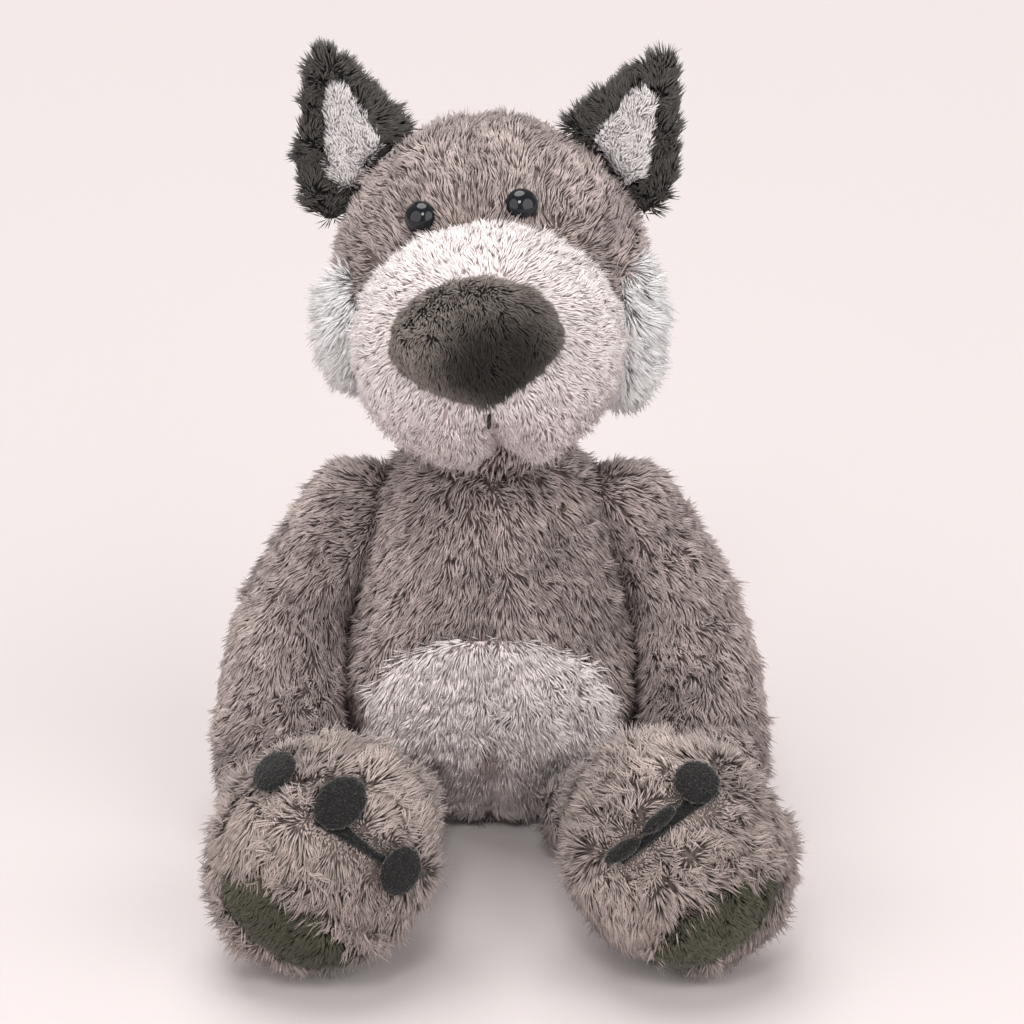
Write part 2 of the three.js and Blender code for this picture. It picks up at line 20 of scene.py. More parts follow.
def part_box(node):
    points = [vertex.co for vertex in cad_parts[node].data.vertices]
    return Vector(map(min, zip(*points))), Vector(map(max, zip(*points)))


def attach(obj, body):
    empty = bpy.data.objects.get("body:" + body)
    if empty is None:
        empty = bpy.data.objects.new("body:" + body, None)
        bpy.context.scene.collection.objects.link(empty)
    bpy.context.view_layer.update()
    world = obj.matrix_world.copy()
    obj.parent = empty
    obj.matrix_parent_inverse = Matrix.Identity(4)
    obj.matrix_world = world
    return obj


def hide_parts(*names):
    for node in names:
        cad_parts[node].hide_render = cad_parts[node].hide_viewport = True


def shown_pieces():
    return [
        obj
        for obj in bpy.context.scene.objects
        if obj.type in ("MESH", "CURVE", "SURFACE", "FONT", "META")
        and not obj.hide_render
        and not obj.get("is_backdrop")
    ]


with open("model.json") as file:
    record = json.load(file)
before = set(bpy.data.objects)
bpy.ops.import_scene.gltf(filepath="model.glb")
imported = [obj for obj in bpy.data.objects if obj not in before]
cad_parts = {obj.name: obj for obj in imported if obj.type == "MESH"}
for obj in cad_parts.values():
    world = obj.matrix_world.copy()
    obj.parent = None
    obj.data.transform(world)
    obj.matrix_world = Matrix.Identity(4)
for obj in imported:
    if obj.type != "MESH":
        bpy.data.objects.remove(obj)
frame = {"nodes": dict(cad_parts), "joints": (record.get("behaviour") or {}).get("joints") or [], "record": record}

MM = 0.001
LOG = logging.getLogger("plush_dog")
PIECE_TRIANGLES = 196_000
SEAM_HOLD = 4 * MM
COAT_REACH = 12 * MM
HEAD_ROOM = 12 * MM
DOWN = np.array((0.0, 0.0, -1.0))
FRONT = np.array((0.0, -1.0, 0.0))

Colour = tuple[float, float, float]


class Side(Enum):
    """The toy's own left and right, with the sign of X on that side."""

    LEFT = 1
    RIGHT = -1

    @property
    def word(self) -> str:
        """The side as piece names spell it."""
        return self.name.lower()


# ------------------------------------------------------------------ mesh helpers


def link(name: str, mesh: bpy.types.Mesh) -> bpy.types.Object:
    """Makes an object of a mesh and links it to the scene.

    Args:
        name: The object's name.
        mesh: Its mesh, already in its place.

    Returns:
        The new object, at the origin.
    """
    mesh.name = name
    obj = bpy.data.objects.new(name, mesh)
    bpy.context.scene.collection.objects.link(obj)
    return obj


def from_bmesh(name: str, bm: bmesh.types.BMesh) -> bpy.types.Object:
    """Makes a smooth-shaded object from a bmesh and frees the bmesh.

    Args:
        name: The object's name.
        bm: The bmesh to take.

    Returns:
        The new object.
    """
    bmesh.ops.remove_doubles(bm, verts=bm.verts, dist=1e-6)
    bmesh.ops.recalc_face_normals(bm, faces=bm.faces)
    mesh = bpy.data.meshes.new(name)
    bm.to_mesh(mesh)
    bm.free()
    mesh.shade_smooth()
    return link(name, mesh)


def discard(obj: bpy.types.Object) -> None:
    """Removes a helper object and its mesh."""
    mesh = obj.data
    bpy.data.objects.remove(obj)
    bpy.data.meshes.remove(mesh)


def apply_modifiers(obj: bpy.types.Object) -> bpy.types.Object:
    """Turns an object's modifiers into its mesh.

    Args:
        obj: The object to settle.

    Returns:
        The same object, with no modifiers.
    """
    graph = bpy.context.evaluated_depsgraph_get()
    graph.update()
    settled = bpy.data.meshes.new_from_object(
        obj.evaluated_get(graph), preserve_all_data_layers=True, depsgraph=graph
    )
    old = obj.data
    obj.modifiers.clear()
    obj.data = settled
    bpy.data.meshes.remove(old)
    settled.name = obj.name
    return obj


def points_of(mesh: bpy.types.Mesh) -> np.ndarray:
    """The mesh's points, one row each."""
    rows = np.empty(len(mesh.vertices) * 3, np.float32)
    mesh.vertices.foreach_get("co", rows)
    return rows.reshape(-1, 3).astype(float)


def set_points(mesh: bpy.types.Mesh, points: np.ndarray) -> None:
    """Moves the mesh's points to the given rows."""
    mesh.vertices.foreach_set("co", points.astype(np.float32).ravel())
    mesh.update()


def normals_of(mesh: bpy.types.Mesh) -> np.ndarray:
    """The mesh's outward directions at its points, one row each."""
    rows = np.empty(len(mesh.vertices) * 3, np.float32)
    mesh.vertices.foreach_get("normal", rows)
    return rows.reshape(-1, 3).astype(float)


def unit(rows: np.ndarray) -> np.ndarray:
    """Rows scaled to length one."""
    return rows / np.maximum(np.linalg.norm(rows, axis=-1, keepdims=True), 1e-9)


def smooth_step(values: np.ndarray, low: float, high: float) -> np.ndarray:
    """A smooth rise from 0 at low to 1 at high.

    Args:
        values: The values to judge.
        low: Where the rise starts.
        high: Where it ends; it may be below low, for a fall.

    Returns:
        Shares from 0 to 1.
    """
    share = np.clip((values - low) / (high - low), 0, 1)
    return share * share * (3 - 2 * share)


def centre_of(node: str) -> np.ndarray:
    """The middle of a CAD node's box."""
    low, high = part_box(node)
    return np.array((low + high) / 2)


def size_of(node: str) -> np.ndarray:
    """A CAD node's box size."""
    low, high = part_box(node)
    return np.array(high - low)


def tree_of(obj: bpy.types.Object) -> BVHTree:
    """A search tree of an object's faces."""
    return BVHTree.FromPolygons(
        [v.co.copy() for v in obj.data.vertices], [tuple(p.vertices) for p in obj.data.polygons]
    )


def distances(points: np.ndarray, tree: BVHTree, reach: float) -> np.ndarray:
    """How far points lie from a surface, no further than reach.

    Args:
        points: The points, one row each.
        tree: The surface.
        reach: The furthest distance to look.

    Returns:
        One distance for each point; negative inside a closed surface.
    """
    found = np.full(len(points), reach)
    for i, point in enumerate(points):
        place, normal, _, distance = tree.find_nearest(Vector(point), reach)
        if place is not None:
            inside = (Vector(point) - place).dot(normal) < 0
            found[i] = -distance if inside else distance
    return found


# ------------------------------------------------------------------ stuffed forms


def hull_form(name: str, nodes: Iterable[str]) -> bpy.types.Object:
    """The closed round form over some CAD shells, with their openings covered.

    Args:
        name: The new object's name.
        nodes: CAD nodes that make up one bulging skin.

    Returns:
        A new object.
    """
    bm = bmesh.new()
    for node in nodes:
        for vert in frame["nodes"][node].data.vertices:
            bm.verts.new(vert.co)
    bmesh.ops.remove_doubles(bm, verts=bm.verts, dist=1e-5)
    wrapped = bmesh.ops.convex_hull(bm, input=bm.verts, use_existing_faces=False)
    loose = [g for g in wrapped["geom_interior"] if isinstance(g, bmesh.types.BMVert)]
    bmesh.ops.delete(bm, geom=loose, context="VERTS")
    return from_bmesh(name, bm)


def grown_form(name: str, node: str, distance: float) -> bpy.types.Object:
    """A copy of a CAD solid, fattened along its own normals.

    Args:
        name: The new object's name.
        node: The CAD node to copy.
        distance: How far outwards, or inwards where negative.

    Returns:
        A new object.
    """
    bm = bmesh.new()
    bm.from_mesh(frame["nodes"][node].data)
    bmesh.ops.remove_doubles(bm, verts=bm.verts, dist=1e-5)
    bmesh.ops.recalc_face_normals(bm, faces=bm.faces)
    bm.normal_update()
    for vert in bm.verts:
        vert.co += vert.normal * distance
    return from_bmesh(name, bm)


def ball_form(
    name: str,
    size: Sequence[float],
    middle: np.ndarray,
    turn: np.ndarray,
    offset: Sequence[float] = (0, 0, 0),
) -> bpy.types.Object:
    """An ellipsoid in its place.

    Args:
        name: The new object's name.
        size: Its three widths.
        middle: The place that it is turned about.
        turn: Its turn, as a matrix.
        offset: How far it lies from that place, before the turn.

    Returns:
        A new object.
    """
    bm = bmesh.new()
    bmesh.ops.create_icosphere(bm, subdivisions=5, radius=0.5)
    bmesh.ops.scale(bm, verts=bm.verts, vec=Vector(size))
    bmesh.ops.translate(bm, verts=bm.verts, vec=offset)
    bmesh.ops.transform(bm, matrix=Matrix(turn.tolist()).to_4x4(), verts=bm.verts)
    bmesh.ops.translate(bm, verts=bm.verts, vec=Vector(middle))
    return from_bmesh(name, bm)


def remesh(obj: bpy.types.Object, voxel: float, rounds: int = 8) -> bpy.types.Object:
    """Gives a form one even mesh and rounds its edges.

    Args:
        obj: The form.
        voxel: Size of the new faces.
        rounds: Rounds of smoothing.

    Returns:
        The same object.
    """
    even = obj.modifiers.new("even", "REMESH")
    even.mode = "VOXEL"
    even.voxel_size = voxel
    even.use_smooth_shade = True
    soft = obj.modifiers.new("soft", "SMOOTH")
    soft.factor = 0.5
    soft.iterations = rounds
    return apply_modifiers(obj)


def fit_to(obj: bpy.types.Object, low: Vector, high: Vector, inset: float) -> bpy.types.Object:
    """Scales a form so that its box lies an inset inside another box.

    Args:
        obj: The form.
        low: The other box's lowest corner.
        high: The other box's highest corner.
        inset: The room left on every side.

    Returns:
        The same object.
    """
    points = points_of(obj.data)
    own_low, own_high = points.min(0), points.max(0)
    goal_low, goal_high = np.array(low) + inset, np.array(high) - inset
    share = (points - own_low) / (own_high - own_low)
    set_points(obj.data, goal_low + share * (goal_high - goal_low))
    return obj


@dataclass(frozen=True)
class Stuffing:
    """How hard a skin is filled, and how far it may swell."""

    pressure: float = 4.0
    swell: float = 3 * MM
    frames: int = 20

    def puff(self, obj: bpy.types.Object, held: np.ndarray | None = None) -> bpy.types.Object:
        """Swells a closed form as its filling would, with its seams held in place.

        Args:
            obj: The form, evenly meshed.
            held: How firmly each point is held, from 0 to 1.

        Returns:
            The same object, swollen.
        """
        rest = points_of(obj.data)
        cloth = obj.modifiers.new("cloth", "CLOTH")
        cloth.settings.quality = 5
        cloth.settings.mass = 0.3
        cloth.settings.tension_stiffness = 20
        cloth.settings.compression_stiffness = 20
        cloth.settings.use_pressure = True
        cloth.settings.uniform_pressure_force = self.pressure
        cloth.settings.effector_weights.gravity = 0
        cloth.point_cache.frame_start = 1
        cloth.point_cache.frame_end = self.frames
        if held is not None:
            group = obj.vertex_groups.new(name="seams")
            for index in np.flatnonzero(held > 0.02):
                group.add([int(index)], float(held[index]), "REPLACE")
            cloth.settings.vertex_group_mass = group.name
        scene = bpy.context.scene
        for step in range(1, self.frames + 1):
            scene.frame_set(step)
        graph = bpy.context.evaluated_depsgraph_get()
        swollen = points_of(obj.evaluated_get(graph).data)
        obj.modifiers.remove(cloth)
        obj.vertex_groups.clear()
        scene.frame_set(1)
        shift = swollen - rest
        length = np.linalg.norm(shift, axis=1, keepdims=True)
        shift *= np.minimum(1, self.swell / np.maximum(length, 1e-9))
        set_points(obj.data, rest + shift)
        return obj


def subdivide(obj: bpy.types.Object, levels: int = 1) -> bpy.types.Object:
    """Applies a subdivision surface to a form."""
    rounder = obj.modifiers.new("rounder", "SUBSURF")
    rounder.levels = rounder.render_levels = levels
    return apply_modifiers(obj)


def crease(obj: bpy.types.Object, depth: float | np.ndarray) -> bpy.types.Object:
    """Pulls a form's points inwards, all by one depth or each by its own."""
    set_points(obj.data, points_of(obj.data) - normals_of(obj.data) * np.reshape(depth, (-1, 1)))
    return obj


def keep_above(obj: bpy.types.Object, height: float) -> np.ndarray:
    """Flattens what lies lower than a height over the floor, and gives the form's points."""
    points = points_of(obj.data)
    points[:, 2] = np.maximum(points[:, 2], height)
    set_points(obj.data, points)
    return points


def thicken(obj: bpy.types.Object, thickness: float, offset: float) -> bpy.types.Object:
    """Gives an open surface a wall, inwards where the offset is -1."""
    wall = obj.modifiers.new("wall", "SOLIDIFY")
    wall.thickness = thickness
    wall.offset = offset
    return apply_modifiers(obj)


def panel_of(
    name: str, form: bpy.types.Object, keep: np.ndarray, lift: float, thickness: float
) -> bpy.types.Object:
    """A sewn-on panel cut from part of a form's surface.

    Args:
        name: The new object's name.
        form: The form that the panel lies on.
        keep: For each of its points, whether the panel has it.
        lift: How far the panel's face stands off the form.
        thickness: The panel's thickness.

    Returns:
        A closed new object.
    """
    bm = bmesh.new()
    bm.from_mesh(form.data)
    bm.verts.ensure_lookup_table()
    bm.normal_update()
    outside = [v for v in bm.verts if not keep[v.index]]
    for vert in bm.verts:
        vert.co += vert.normal * lift
    bmesh.ops.delete(bm, geom=outside, context="VERTS")
    bmesh.ops.smooth_vert(bm, verts=[v for v in bm.verts if v.is_boundary], factor=0.5)
    return thicken(from_bmesh(name, bm), thickness, -1)


# ------------------------------------------------------------------ node tools


class Tree:
    """A node tree with short ways to add and join nodes."""

    def __init__(self, tree: bpy.types.NodeTree) -> None:
        """Wraps a tree."""
        self.tree = tree

    def add(self, kind: str, **settings: object) -> bpy.types.Node:
        """Adds a node; settings named in_NAME or in_INDEX set or link its inputs.

        Args:
            kind: The node's type.
            **settings: Node properties, and inputs as in_X.

        Returns:
            The new node.
        """
        node = self.tree.nodes.new(kind)
        for key, value in settings.items():
            if not key.startswith("in_"):
                setattr(node, key, value)
        self.give(node, **{key[3:]: value for key, value in settings.items() if key.startswith("in_")})
        return node

    def give(self, node: bpy.types.Node, **inputs: object) -> None:
        """Sets or links a node's inputs, each named by its number or with _ for a space."""
        for name, value in inputs.items():
            self.feed(node.inputs[int(name) if name.isdigit() else name.replace("_", " ")], value)

    def feed(self, socket: bpy.types.NodeSocket, value: object) -> None:
        """Links a socket to another node's socket, or sets its value."""
        if isinstance(value, bpy.types.NodeSocket):
            self.tree.links.new(value, socket)
        else:
            socket.default_value = value

    def noise(
        self, place: object, scale: object, detail: float = 2.0, output: int | str = 0
    ) -> bpy.types.NodeSocket:
        """A Noise Texture's output."""
        node = self.add("ShaderNodeTexNoise", in_Vector=place, in_Scale=scale, in_Detail=detail)
        return node.outputs[output]

    def maths(self, operation: str, *values: object) -> bpy.types.NodeSocket:
        """A Math node's output."""
        inputs = {f"in_{i}": value for i, value in enumerate(values)}
        return self.add("ShaderNodeMath", operation=operation, **inputs).outputs[0]

    def vectors(self, operation: str, *values: object) -> bpy.types.NodeSocket:
        """A Vector Math node's output."""
        inputs = {f"in_{i}": value for i, value in enumerate(values)}
        node = self.add("ShaderNodeVectorMath", operation=operation, **inputs)
        return node.outputs["Vector"]

    def scaled(self, vector: bpy.types.NodeSocket, by: object) -> bpy.types.NodeSocket:
        """A vector times a number."""
        return self.add(
            "ShaderNodeVectorMath", operation="SCALE", in_0=vector, in_Scale=by
        ).outputs["Vector"]

    def mixed(self, share: object, first: object, second: object) -> bpy.types.NodeSocket:
        """A colour between two colours."""
        node = self.add("ShaderNodeMix", data_type="RGBA", in_0=share, in_6=first, in_7=second)
        return node.outputs[2]


# ------------------------------------------------------------------ the coat of tufts


@dataclass(frozen=True)
class Pile:
    """How a plush's pile grows."""

    length: float
    width: float = 0.72 * MM
    per_mm2: float = 1.6
    rise: float = 0.5
    swirl: float = 0.5
    swirl_size: float = 24 * MM
    clump: float = 0.9
    clump_size: float = 5.5 * MM
    uneven: float = 1.2
    stray: float = 0.18
    bend: float = 0.35
    rings: int = 1
    most: int = PIECE_TRIANGLES
    seed: int = 1

    def tuft(self) -> bpy.types.Object:
        """One curved tuft, a unit tall, with its height kept as an attribute."""
        bm = bmesh.new()
        bmesh.ops.create_uvsphere(bm, u_segments=3, v_segments=self.rings + 1, radius=0.5)
        bmesh.ops.translate(bm, verts=bm.verts, vec=(0, 0, 0.5))
        for vert in bm.verts:
            vert.co.x += self.bend * vert.co.z**2
        tuft = from_bmesh("tuft", bm)
        heights = tuft.data.attributes.new("height", "FLOAT", "POINT")
        heights.data.foreach_set("value", points_of(tuft.data)[:, 2].astype(np.float32))
        return tuft

    @property
    def triangles(self) -> int:
        """The triangles of one tuft."""
        return 6 * self.rings


class Coat:
    """Covers a skin with tufts that follow its comb, pile and cover attributes."""

    def __init__(self, pile: Pile) -> None:
        """Keeps the pile to grow."""
        self.pile = pile

    def noise(self, tree: Tree, size: float) -> bpy.types.NodeSocket:
        """A vector that wanders over the surface, from -0.5 to 0.5 in each direction."""
        place = tree.add("GeometryNodeInputPosition").outputs[0]
        return tree.vectors("SUBTRACT", tree.noise(place, 1 / size, 1.0, "Color"), (0.5, 0.5, 0.5))

    def locks(self, tree: Tree) -> bpy.types.NodeSocket:
        """How much longer or shorter than the rest each lock of the pile is."""
        place = tree.add("GeometryNodeInputPosition").outputs[0]
        lock = tree.noise(place, 1.3 / self.pile.clump_size, 1.0)
        uneven = tree.maths("MULTIPLY", lock, self.pile.uneven)
        return tree.maths("ADD", uneven, 1 - self.pile.uneven / 2)

    def random(self, tree: Tree, low: float, high: float, seed: int) -> bpy.types.NodeSocket:
        """A number of its own for each tuft."""
        seed += self.pile.seed * 10
        node = tree.add("FunctionNodeRandomValue", data_type="FLOAT", in_2=low, in_3=high, in_Seed=seed)
        return node.outputs[1]

    def attribute(self, tree: Tree, name: str, kind: str = "FLOAT") -> bpy.types.NodeSocket:
        """One of the skin's own attributes."""
        node = tree.add("GeometryNodeInputNamedAttribute", data_type=kind, in_Name=name)
        return node.outputs["Attribute"]

    def lie(self, tree: Tree, normal: bpy.types.NodeSocket) -> bpy.types.NodeSocket:
        """How each tuft is turned: along the comb, off the surface, with clumps and strays.

        Args:
            tree: The coat's node tree.
            normal: The skin's outward direction at the tuft.

        Returns:
            The rotation.
        """
        pile = self.pile
        comb = self.attribute(tree, "comb", "FLOAT_VECTOR")
        swirl = tree.scaled(self.noise(tree, pile.swirl_size), 4 * pile.swirl)
        clump = tree.scaled(self.noise(tree, pile.clump_size), 4 * pile.clump)
        jitter = tree.add(
            "FunctionNodeRandomValue",
            data_type="FLOAT_VECTOR",
            in_0=(-pile.stray,) * 3,
            in_1=(pile.stray,) * 3,
            in_Seed=pile.seed * 10 + 5,
        )
        lean = comb
        for part in (swirl, clump, jitter.outputs[0]):
            lean = tree.vectors("ADD", lean, part)
        upright = tree.add("ShaderNodeVectorMath", operation="DOT_PRODUCT", in_0=lean, in_1=normal)
        off = tree.scaled(normal, upright.outputs["Value"])
        flat = tree.scaled(tree.vectors("SUBTRACT", lean, off), 0.8)
        stand = tree.scaled(normal, self.random(tree, pile.rise * 0.7, pile.rise * 1.3, 4))
        along = tree.vectors("ADD", flat, stand)
        axes = tree.add(
            "FunctionNodeAxesToRotation", primary_axis="Z", secondary_axis="X", in_0=along, in_1=flat
        )
        return axes.outputs[0]

    def tree(self, tuft: bpy.types.Object, density: float) -> bpy.types.NodeTree:
        """The node tree that grows the coat.

        Args:
            tuft: The tuft to repeat.
            density: Tufts on a square metre.

        Returns:
            The tree.
        """
        made = bpy.data.node_groups.new("coat", "GeometryNodeTree")
        made.interface.new_socket("Skin", in_out="INPUT", socket_type="NodeSocketGeometry")
        made.interface.new_socket("Coat", in_out="OUTPUT", socket_type="NodeSocketGeometry")
        tree = Tree(made)
        skin = tree.add("NodeGroupInput").outputs[0]
        cover = tree.maths("MULTIPLY", self.attribute(tree, "cover"), density)
        spread = tree.add(
            "GeometryNodeDistributePointsOnFaces",
            distribute_method="RANDOM",
            in_Mesh=skin,
            in_Density=cover,
            in_Seed=self.pile.seed,
        )
        points = spread.outputs["Points"]
        for name, kind, value in (
            ("own", "FLOAT", self.random(tree, 0.0, 1.0, 1)),
            ("skin", "FLOAT_VECTOR", spread.outputs["Normal"]),
        ):
            points = tree.add(
                "GeometryNodeStoreNamedAttribute",
                data_type=kind,
                domain="POINT",
                in_Geometry=points,
                in_Name=name,
                in_Value=value,
            ).outputs[0]
        length = tree.maths("MULTIPLY", self.attribute(tree, "pile"), self.random(tree, 0.75, 1.1, 2))
        length = tree.maths("MULTIPLY", length, self.locks(tree))
        width = self.random(tree, self.pile.width * 0.75, self.pile.width * 1.3, 3)
        scale = tree.add("ShaderNodeCombineXYZ", in_X=width, in_Y=width, in_Z=length).outputs[0]
        shape = tree.add("GeometryNodeObjectInfo", in_Object=tuft).outputs["Geometry"]
        grown = tree.add(
            "GeometryNodeInstanceOnPoints",
            in_Points=points,
            in_Instance=shape,
            in_Rotation=self.lie(tree, spread.outputs["Normal"]),
            in_Scale=scale,
        )
        real = tree.add("GeometryNodeRealizeInstances", in_Geometry=grown.outputs[0])
        joined = tree.add("GeometryNodeJoinGeometry")
        made.links.new(skin, joined.inputs[0])
        made.links.new(real.outputs[0], joined.inputs[0])
        tree.add("NodeGroupOutput", in_0=joined.outputs[0])
        return made

    def area(self, mesh: bpy.types.Mesh, cover: np.ndarray) -> float:
        """The skin's covered area."""
        return sum(p.area * float(cover[list(p.vertices)].mean()) for p in mesh.polygons)

    def grow(self, obj: bpy.types.Object, finish: bpy.types.Material) -> bpy.types.Object:
        """Grows the coat on a skin that has been combed.

        Args:
            obj: The skin.
            finish: The plush's material.

        Returns:
            The same object, with its coat in its mesh.
        """
        cover = np.empty(len(obj.data.vertices), np.float32)
        obj.data.attributes["cover"].data.foreach_get("value", cover)
        area = self.area(obj.data, cover)
        own = sum(len(p.vertices) - 2 for p in obj.data.polygons)
        most = (self.pile.most - own) / self.pile.triangles
        density = min(self.pile.per_mm2 * 1e6, most / max(area, 1e-9))
        tuft = self.pile.tuft()
        tuft.data.materials.append(finish)
        obj.data.materials.clear()
        obj.data.materials.append(finish)
        growth = obj.modifiers.new("coat", "NODES")
        growth.node_group = self.tree(tuft, density)
        apply_modifiers(obj)
        for name in ("comb", "cover", "pile"):
            obj.data.attributes.remove(obj.data.attributes[name])
        discard(tuft)
        obj.data.shade_smooth()
        LOG.info("%s: coat over %.0f mm2, %d faces", obj.name, area * 1e6, len(obj.data.polygons))
        return obj


def comb(
    obj: bpy.types.Object,
    lean: np.ndarray,
    length: float | np.ndarray,
    cover: np.ndarray | None = None,
    accent: np.ndarray | None = None,
) -> bpy.types.Object:
    """Gives a skin the attributes that its coat follows.

    Args:
        obj: The skin.
        lean: The way that the pile leans, one for all or one for each point.
        length: The pile's length, one for all or one for each point.
        cover: How densely each point is covered, from 0 to 1.
        accent: How much of the accent colour each point has.

    Returns:
        The same object.
    """
    count = len(obj.data.vertices)
    normals = normals_of(obj.data)
    lean = np.broadcast_to(lean, normals.shape)
    flat = unit(lean - normals * (lean * normals).sum(1, keepdims=True))
    rows = {
        "pile": np.broadcast_to(length, count),
        "cover": np.ones(count) if cover is None else cover,
        "accent": np.zeros(count) if accent is None else accent,
        "height": np.zeros(count),
        "own": np.full(count, 0.5),
    }
    for name, values in rows.items():
        layer = obj.data.attributes.new(name, "FLOAT", "POINT")
        layer.data.foreach_set("value", np.ascontiguousarray(values, np.float32))
    for name, values in (("comb", flat), ("skin", normals)):
        layer = obj.data.attributes.new(name, "FLOAT_VECTOR", "POINT")
        layer.data.foreach_set("vector", values.astype(np.float32).ravel())
    return obj


# ------------------------------------------------------------------ finishes


def shader_group(
    name: str, build: Callable[[Tree, dict], bpy.types.NodeSocket], inputs: dict[str, object]
) -> bpy.types.NodeTree:
    """A shader node group that gives a colour, made once.

    Args:
        name: The group's name.
        build: Fills the group, given its tree and its input sockets.
        inputs: Each input's value: a number, a colour, or nothing for a vector.

    Returns:
        The group.
    """
    if name in bpy.data.node_groups:
        return bpy.data.node_groups[name]
    group = bpy.data.node_groups.new(name, "ShaderNodeTree")
    kinds = {float: "NodeSocketFloat", tuple: "NodeSocketColor"}
    for key, value in inputs.items():
        kind = kinds.get(type(value), "NodeSocketVector")
        socket = group.interface.new_socket(key, in_out="INPUT", socket_type=kind)
        if value is not None:
            socket.default_value = value
    group.interface.new_socket("Colour", in_out="OUTPUT", socket_type="NodeSocketColor")
    tree = Tree(group)
    entry = tree.add("NodeGroupInput")
    given = {key: entry.outputs[i] for i, key in enumerate(inputs)}
    tree.add("NodeGroupOutput", in_0=build(tree, given))
    return group


def build_pile_shade(tree: Tree, given: dict) -> bpy.types.NodeSocket:
    """Pile colour: darker at the root, its own shade for each tuft, and broad patches."""
    rise = tree.maths("POWER", given["Height"], 0.7)
    colour = tree.mixed(rise, given["Root"], given["Tip"])
    place = given["Vector"]
    patches = tree.noise(place, given["Patches"])
    clumps = tree.noise(place, tree.maths("MULTIPLY", given["Patches"], 6.0))
    fibres = tree.noise(place, 2600.0, 0.0)
    patch = tree.maths("ADD", patches, clumps)
    patch = tree.maths("ADD", patch, tree.maths("MULTIPLY", fibres, 0.6))
    patch = tree.maths("SUBTRACT", patch, 1.3)
    patch = tree.maths("MULTIPLY", patch, given["Patchiness"])
    own = tree.maths("SUBTRACT", given["Own"], 0.5)
    own = tree.maths("MULTIPLY", own, given["Spread"])
    light = tree.maths("ADD", tree.maths("ADD", 1.0, patch), own)
    colour = tree.scaled(colour, light)
    return tree.mixed(given["Accent share"], colour, given["Accent"])


PILE_INPUTS = {
    "Vector": None,
    "Height": 0.0,
    "Own": 0.5,
    "Accent share": 0.0,
    "Root": (0.2, 0.2, 0.2, 1),
    "Tip": (0.5, 0.5, 0.5, 1),
    "Accent": (0.3, 0.2, 0.2, 1),
    "Patches": 40.0,
    "Patchiness": 0.3,
    "Spread": 0.3,
}


def build_speckle(tree: Tree, given: dict) -> bpy.types.NodeSocket:
    """Fine light fibres scattered over a dark ground."""
    fine = tree.noise(given["Vector"], given["Scale"])
    spots = tree.maths("GREATER_THAN", fine, given["Level"])
    broad = tree.noise(given["Vector"], 180.0)
    shade = tree.maths("ADD", tree.maths("MULTIPLY", broad, 0.7), 0.65)
    ground = tree.scaled(given["Ground"], shade)
    return tree.mixed(tree.maths("MULTIPLY", spots, 0.6), ground, given["Speck"])


SPECKLE_INPUTS = {
    "Vector": None,
    "Scale": 1500.0,
    "Level": 0.62,
    "Ground": (0.03, 0.03, 0.03, 1),
    "Speck": (0.2, 0.2, 0.2, 1),
}
FINISHED: dict[str, bpy.types.Material] = {}


def attribute_in(tree: Tree, name: str) -> bpy.types.NodeSocket:
    """A mesh attribute's number, in a material."""
    return tree.add("ShaderNodeAttribute", attribute_name=name).outputs["Fac"]


def own_place(tree: Tree) -> bpy.types.NodeSocket:
    """The piece's own coordinates, in a material."""
    return tree.add("ShaderNodeTexCoord").outputs["Object"]


class Finish:
    """A material that is made once, named after its slot with _finish added."""

    name: str

    def shade(self, tree: Tree, shader: bpy.types.Node) -> None:
        """Sets up the material's shader."""
        raise NotImplementedError

    def material(self) -> bpy.types.Material:
        """The material."""
        if self.name not in FINISHED:
            made = FINISHED[self.name] = bpy.data.materials.new(f"{self.name}_finish")
            made.use_nodes = True
            self.shade(Tree(made.node_tree), made.node_tree.nodes["Principled BSDF"])
        return FINISHED[self.name]


@dataclass(frozen=True)
class PaperFinish(Finish):
    """Plain matt paper."""

    name: str
    colour: Colour

    def shade(self, tree: Tree, shader: bpy.types.Node) -> None:
        """Gives the paper its colour."""
        tree.give(shader, Base_Color=(*self.colour, 1), Roughness=0.9, Specular_IOR_Level=0.1)


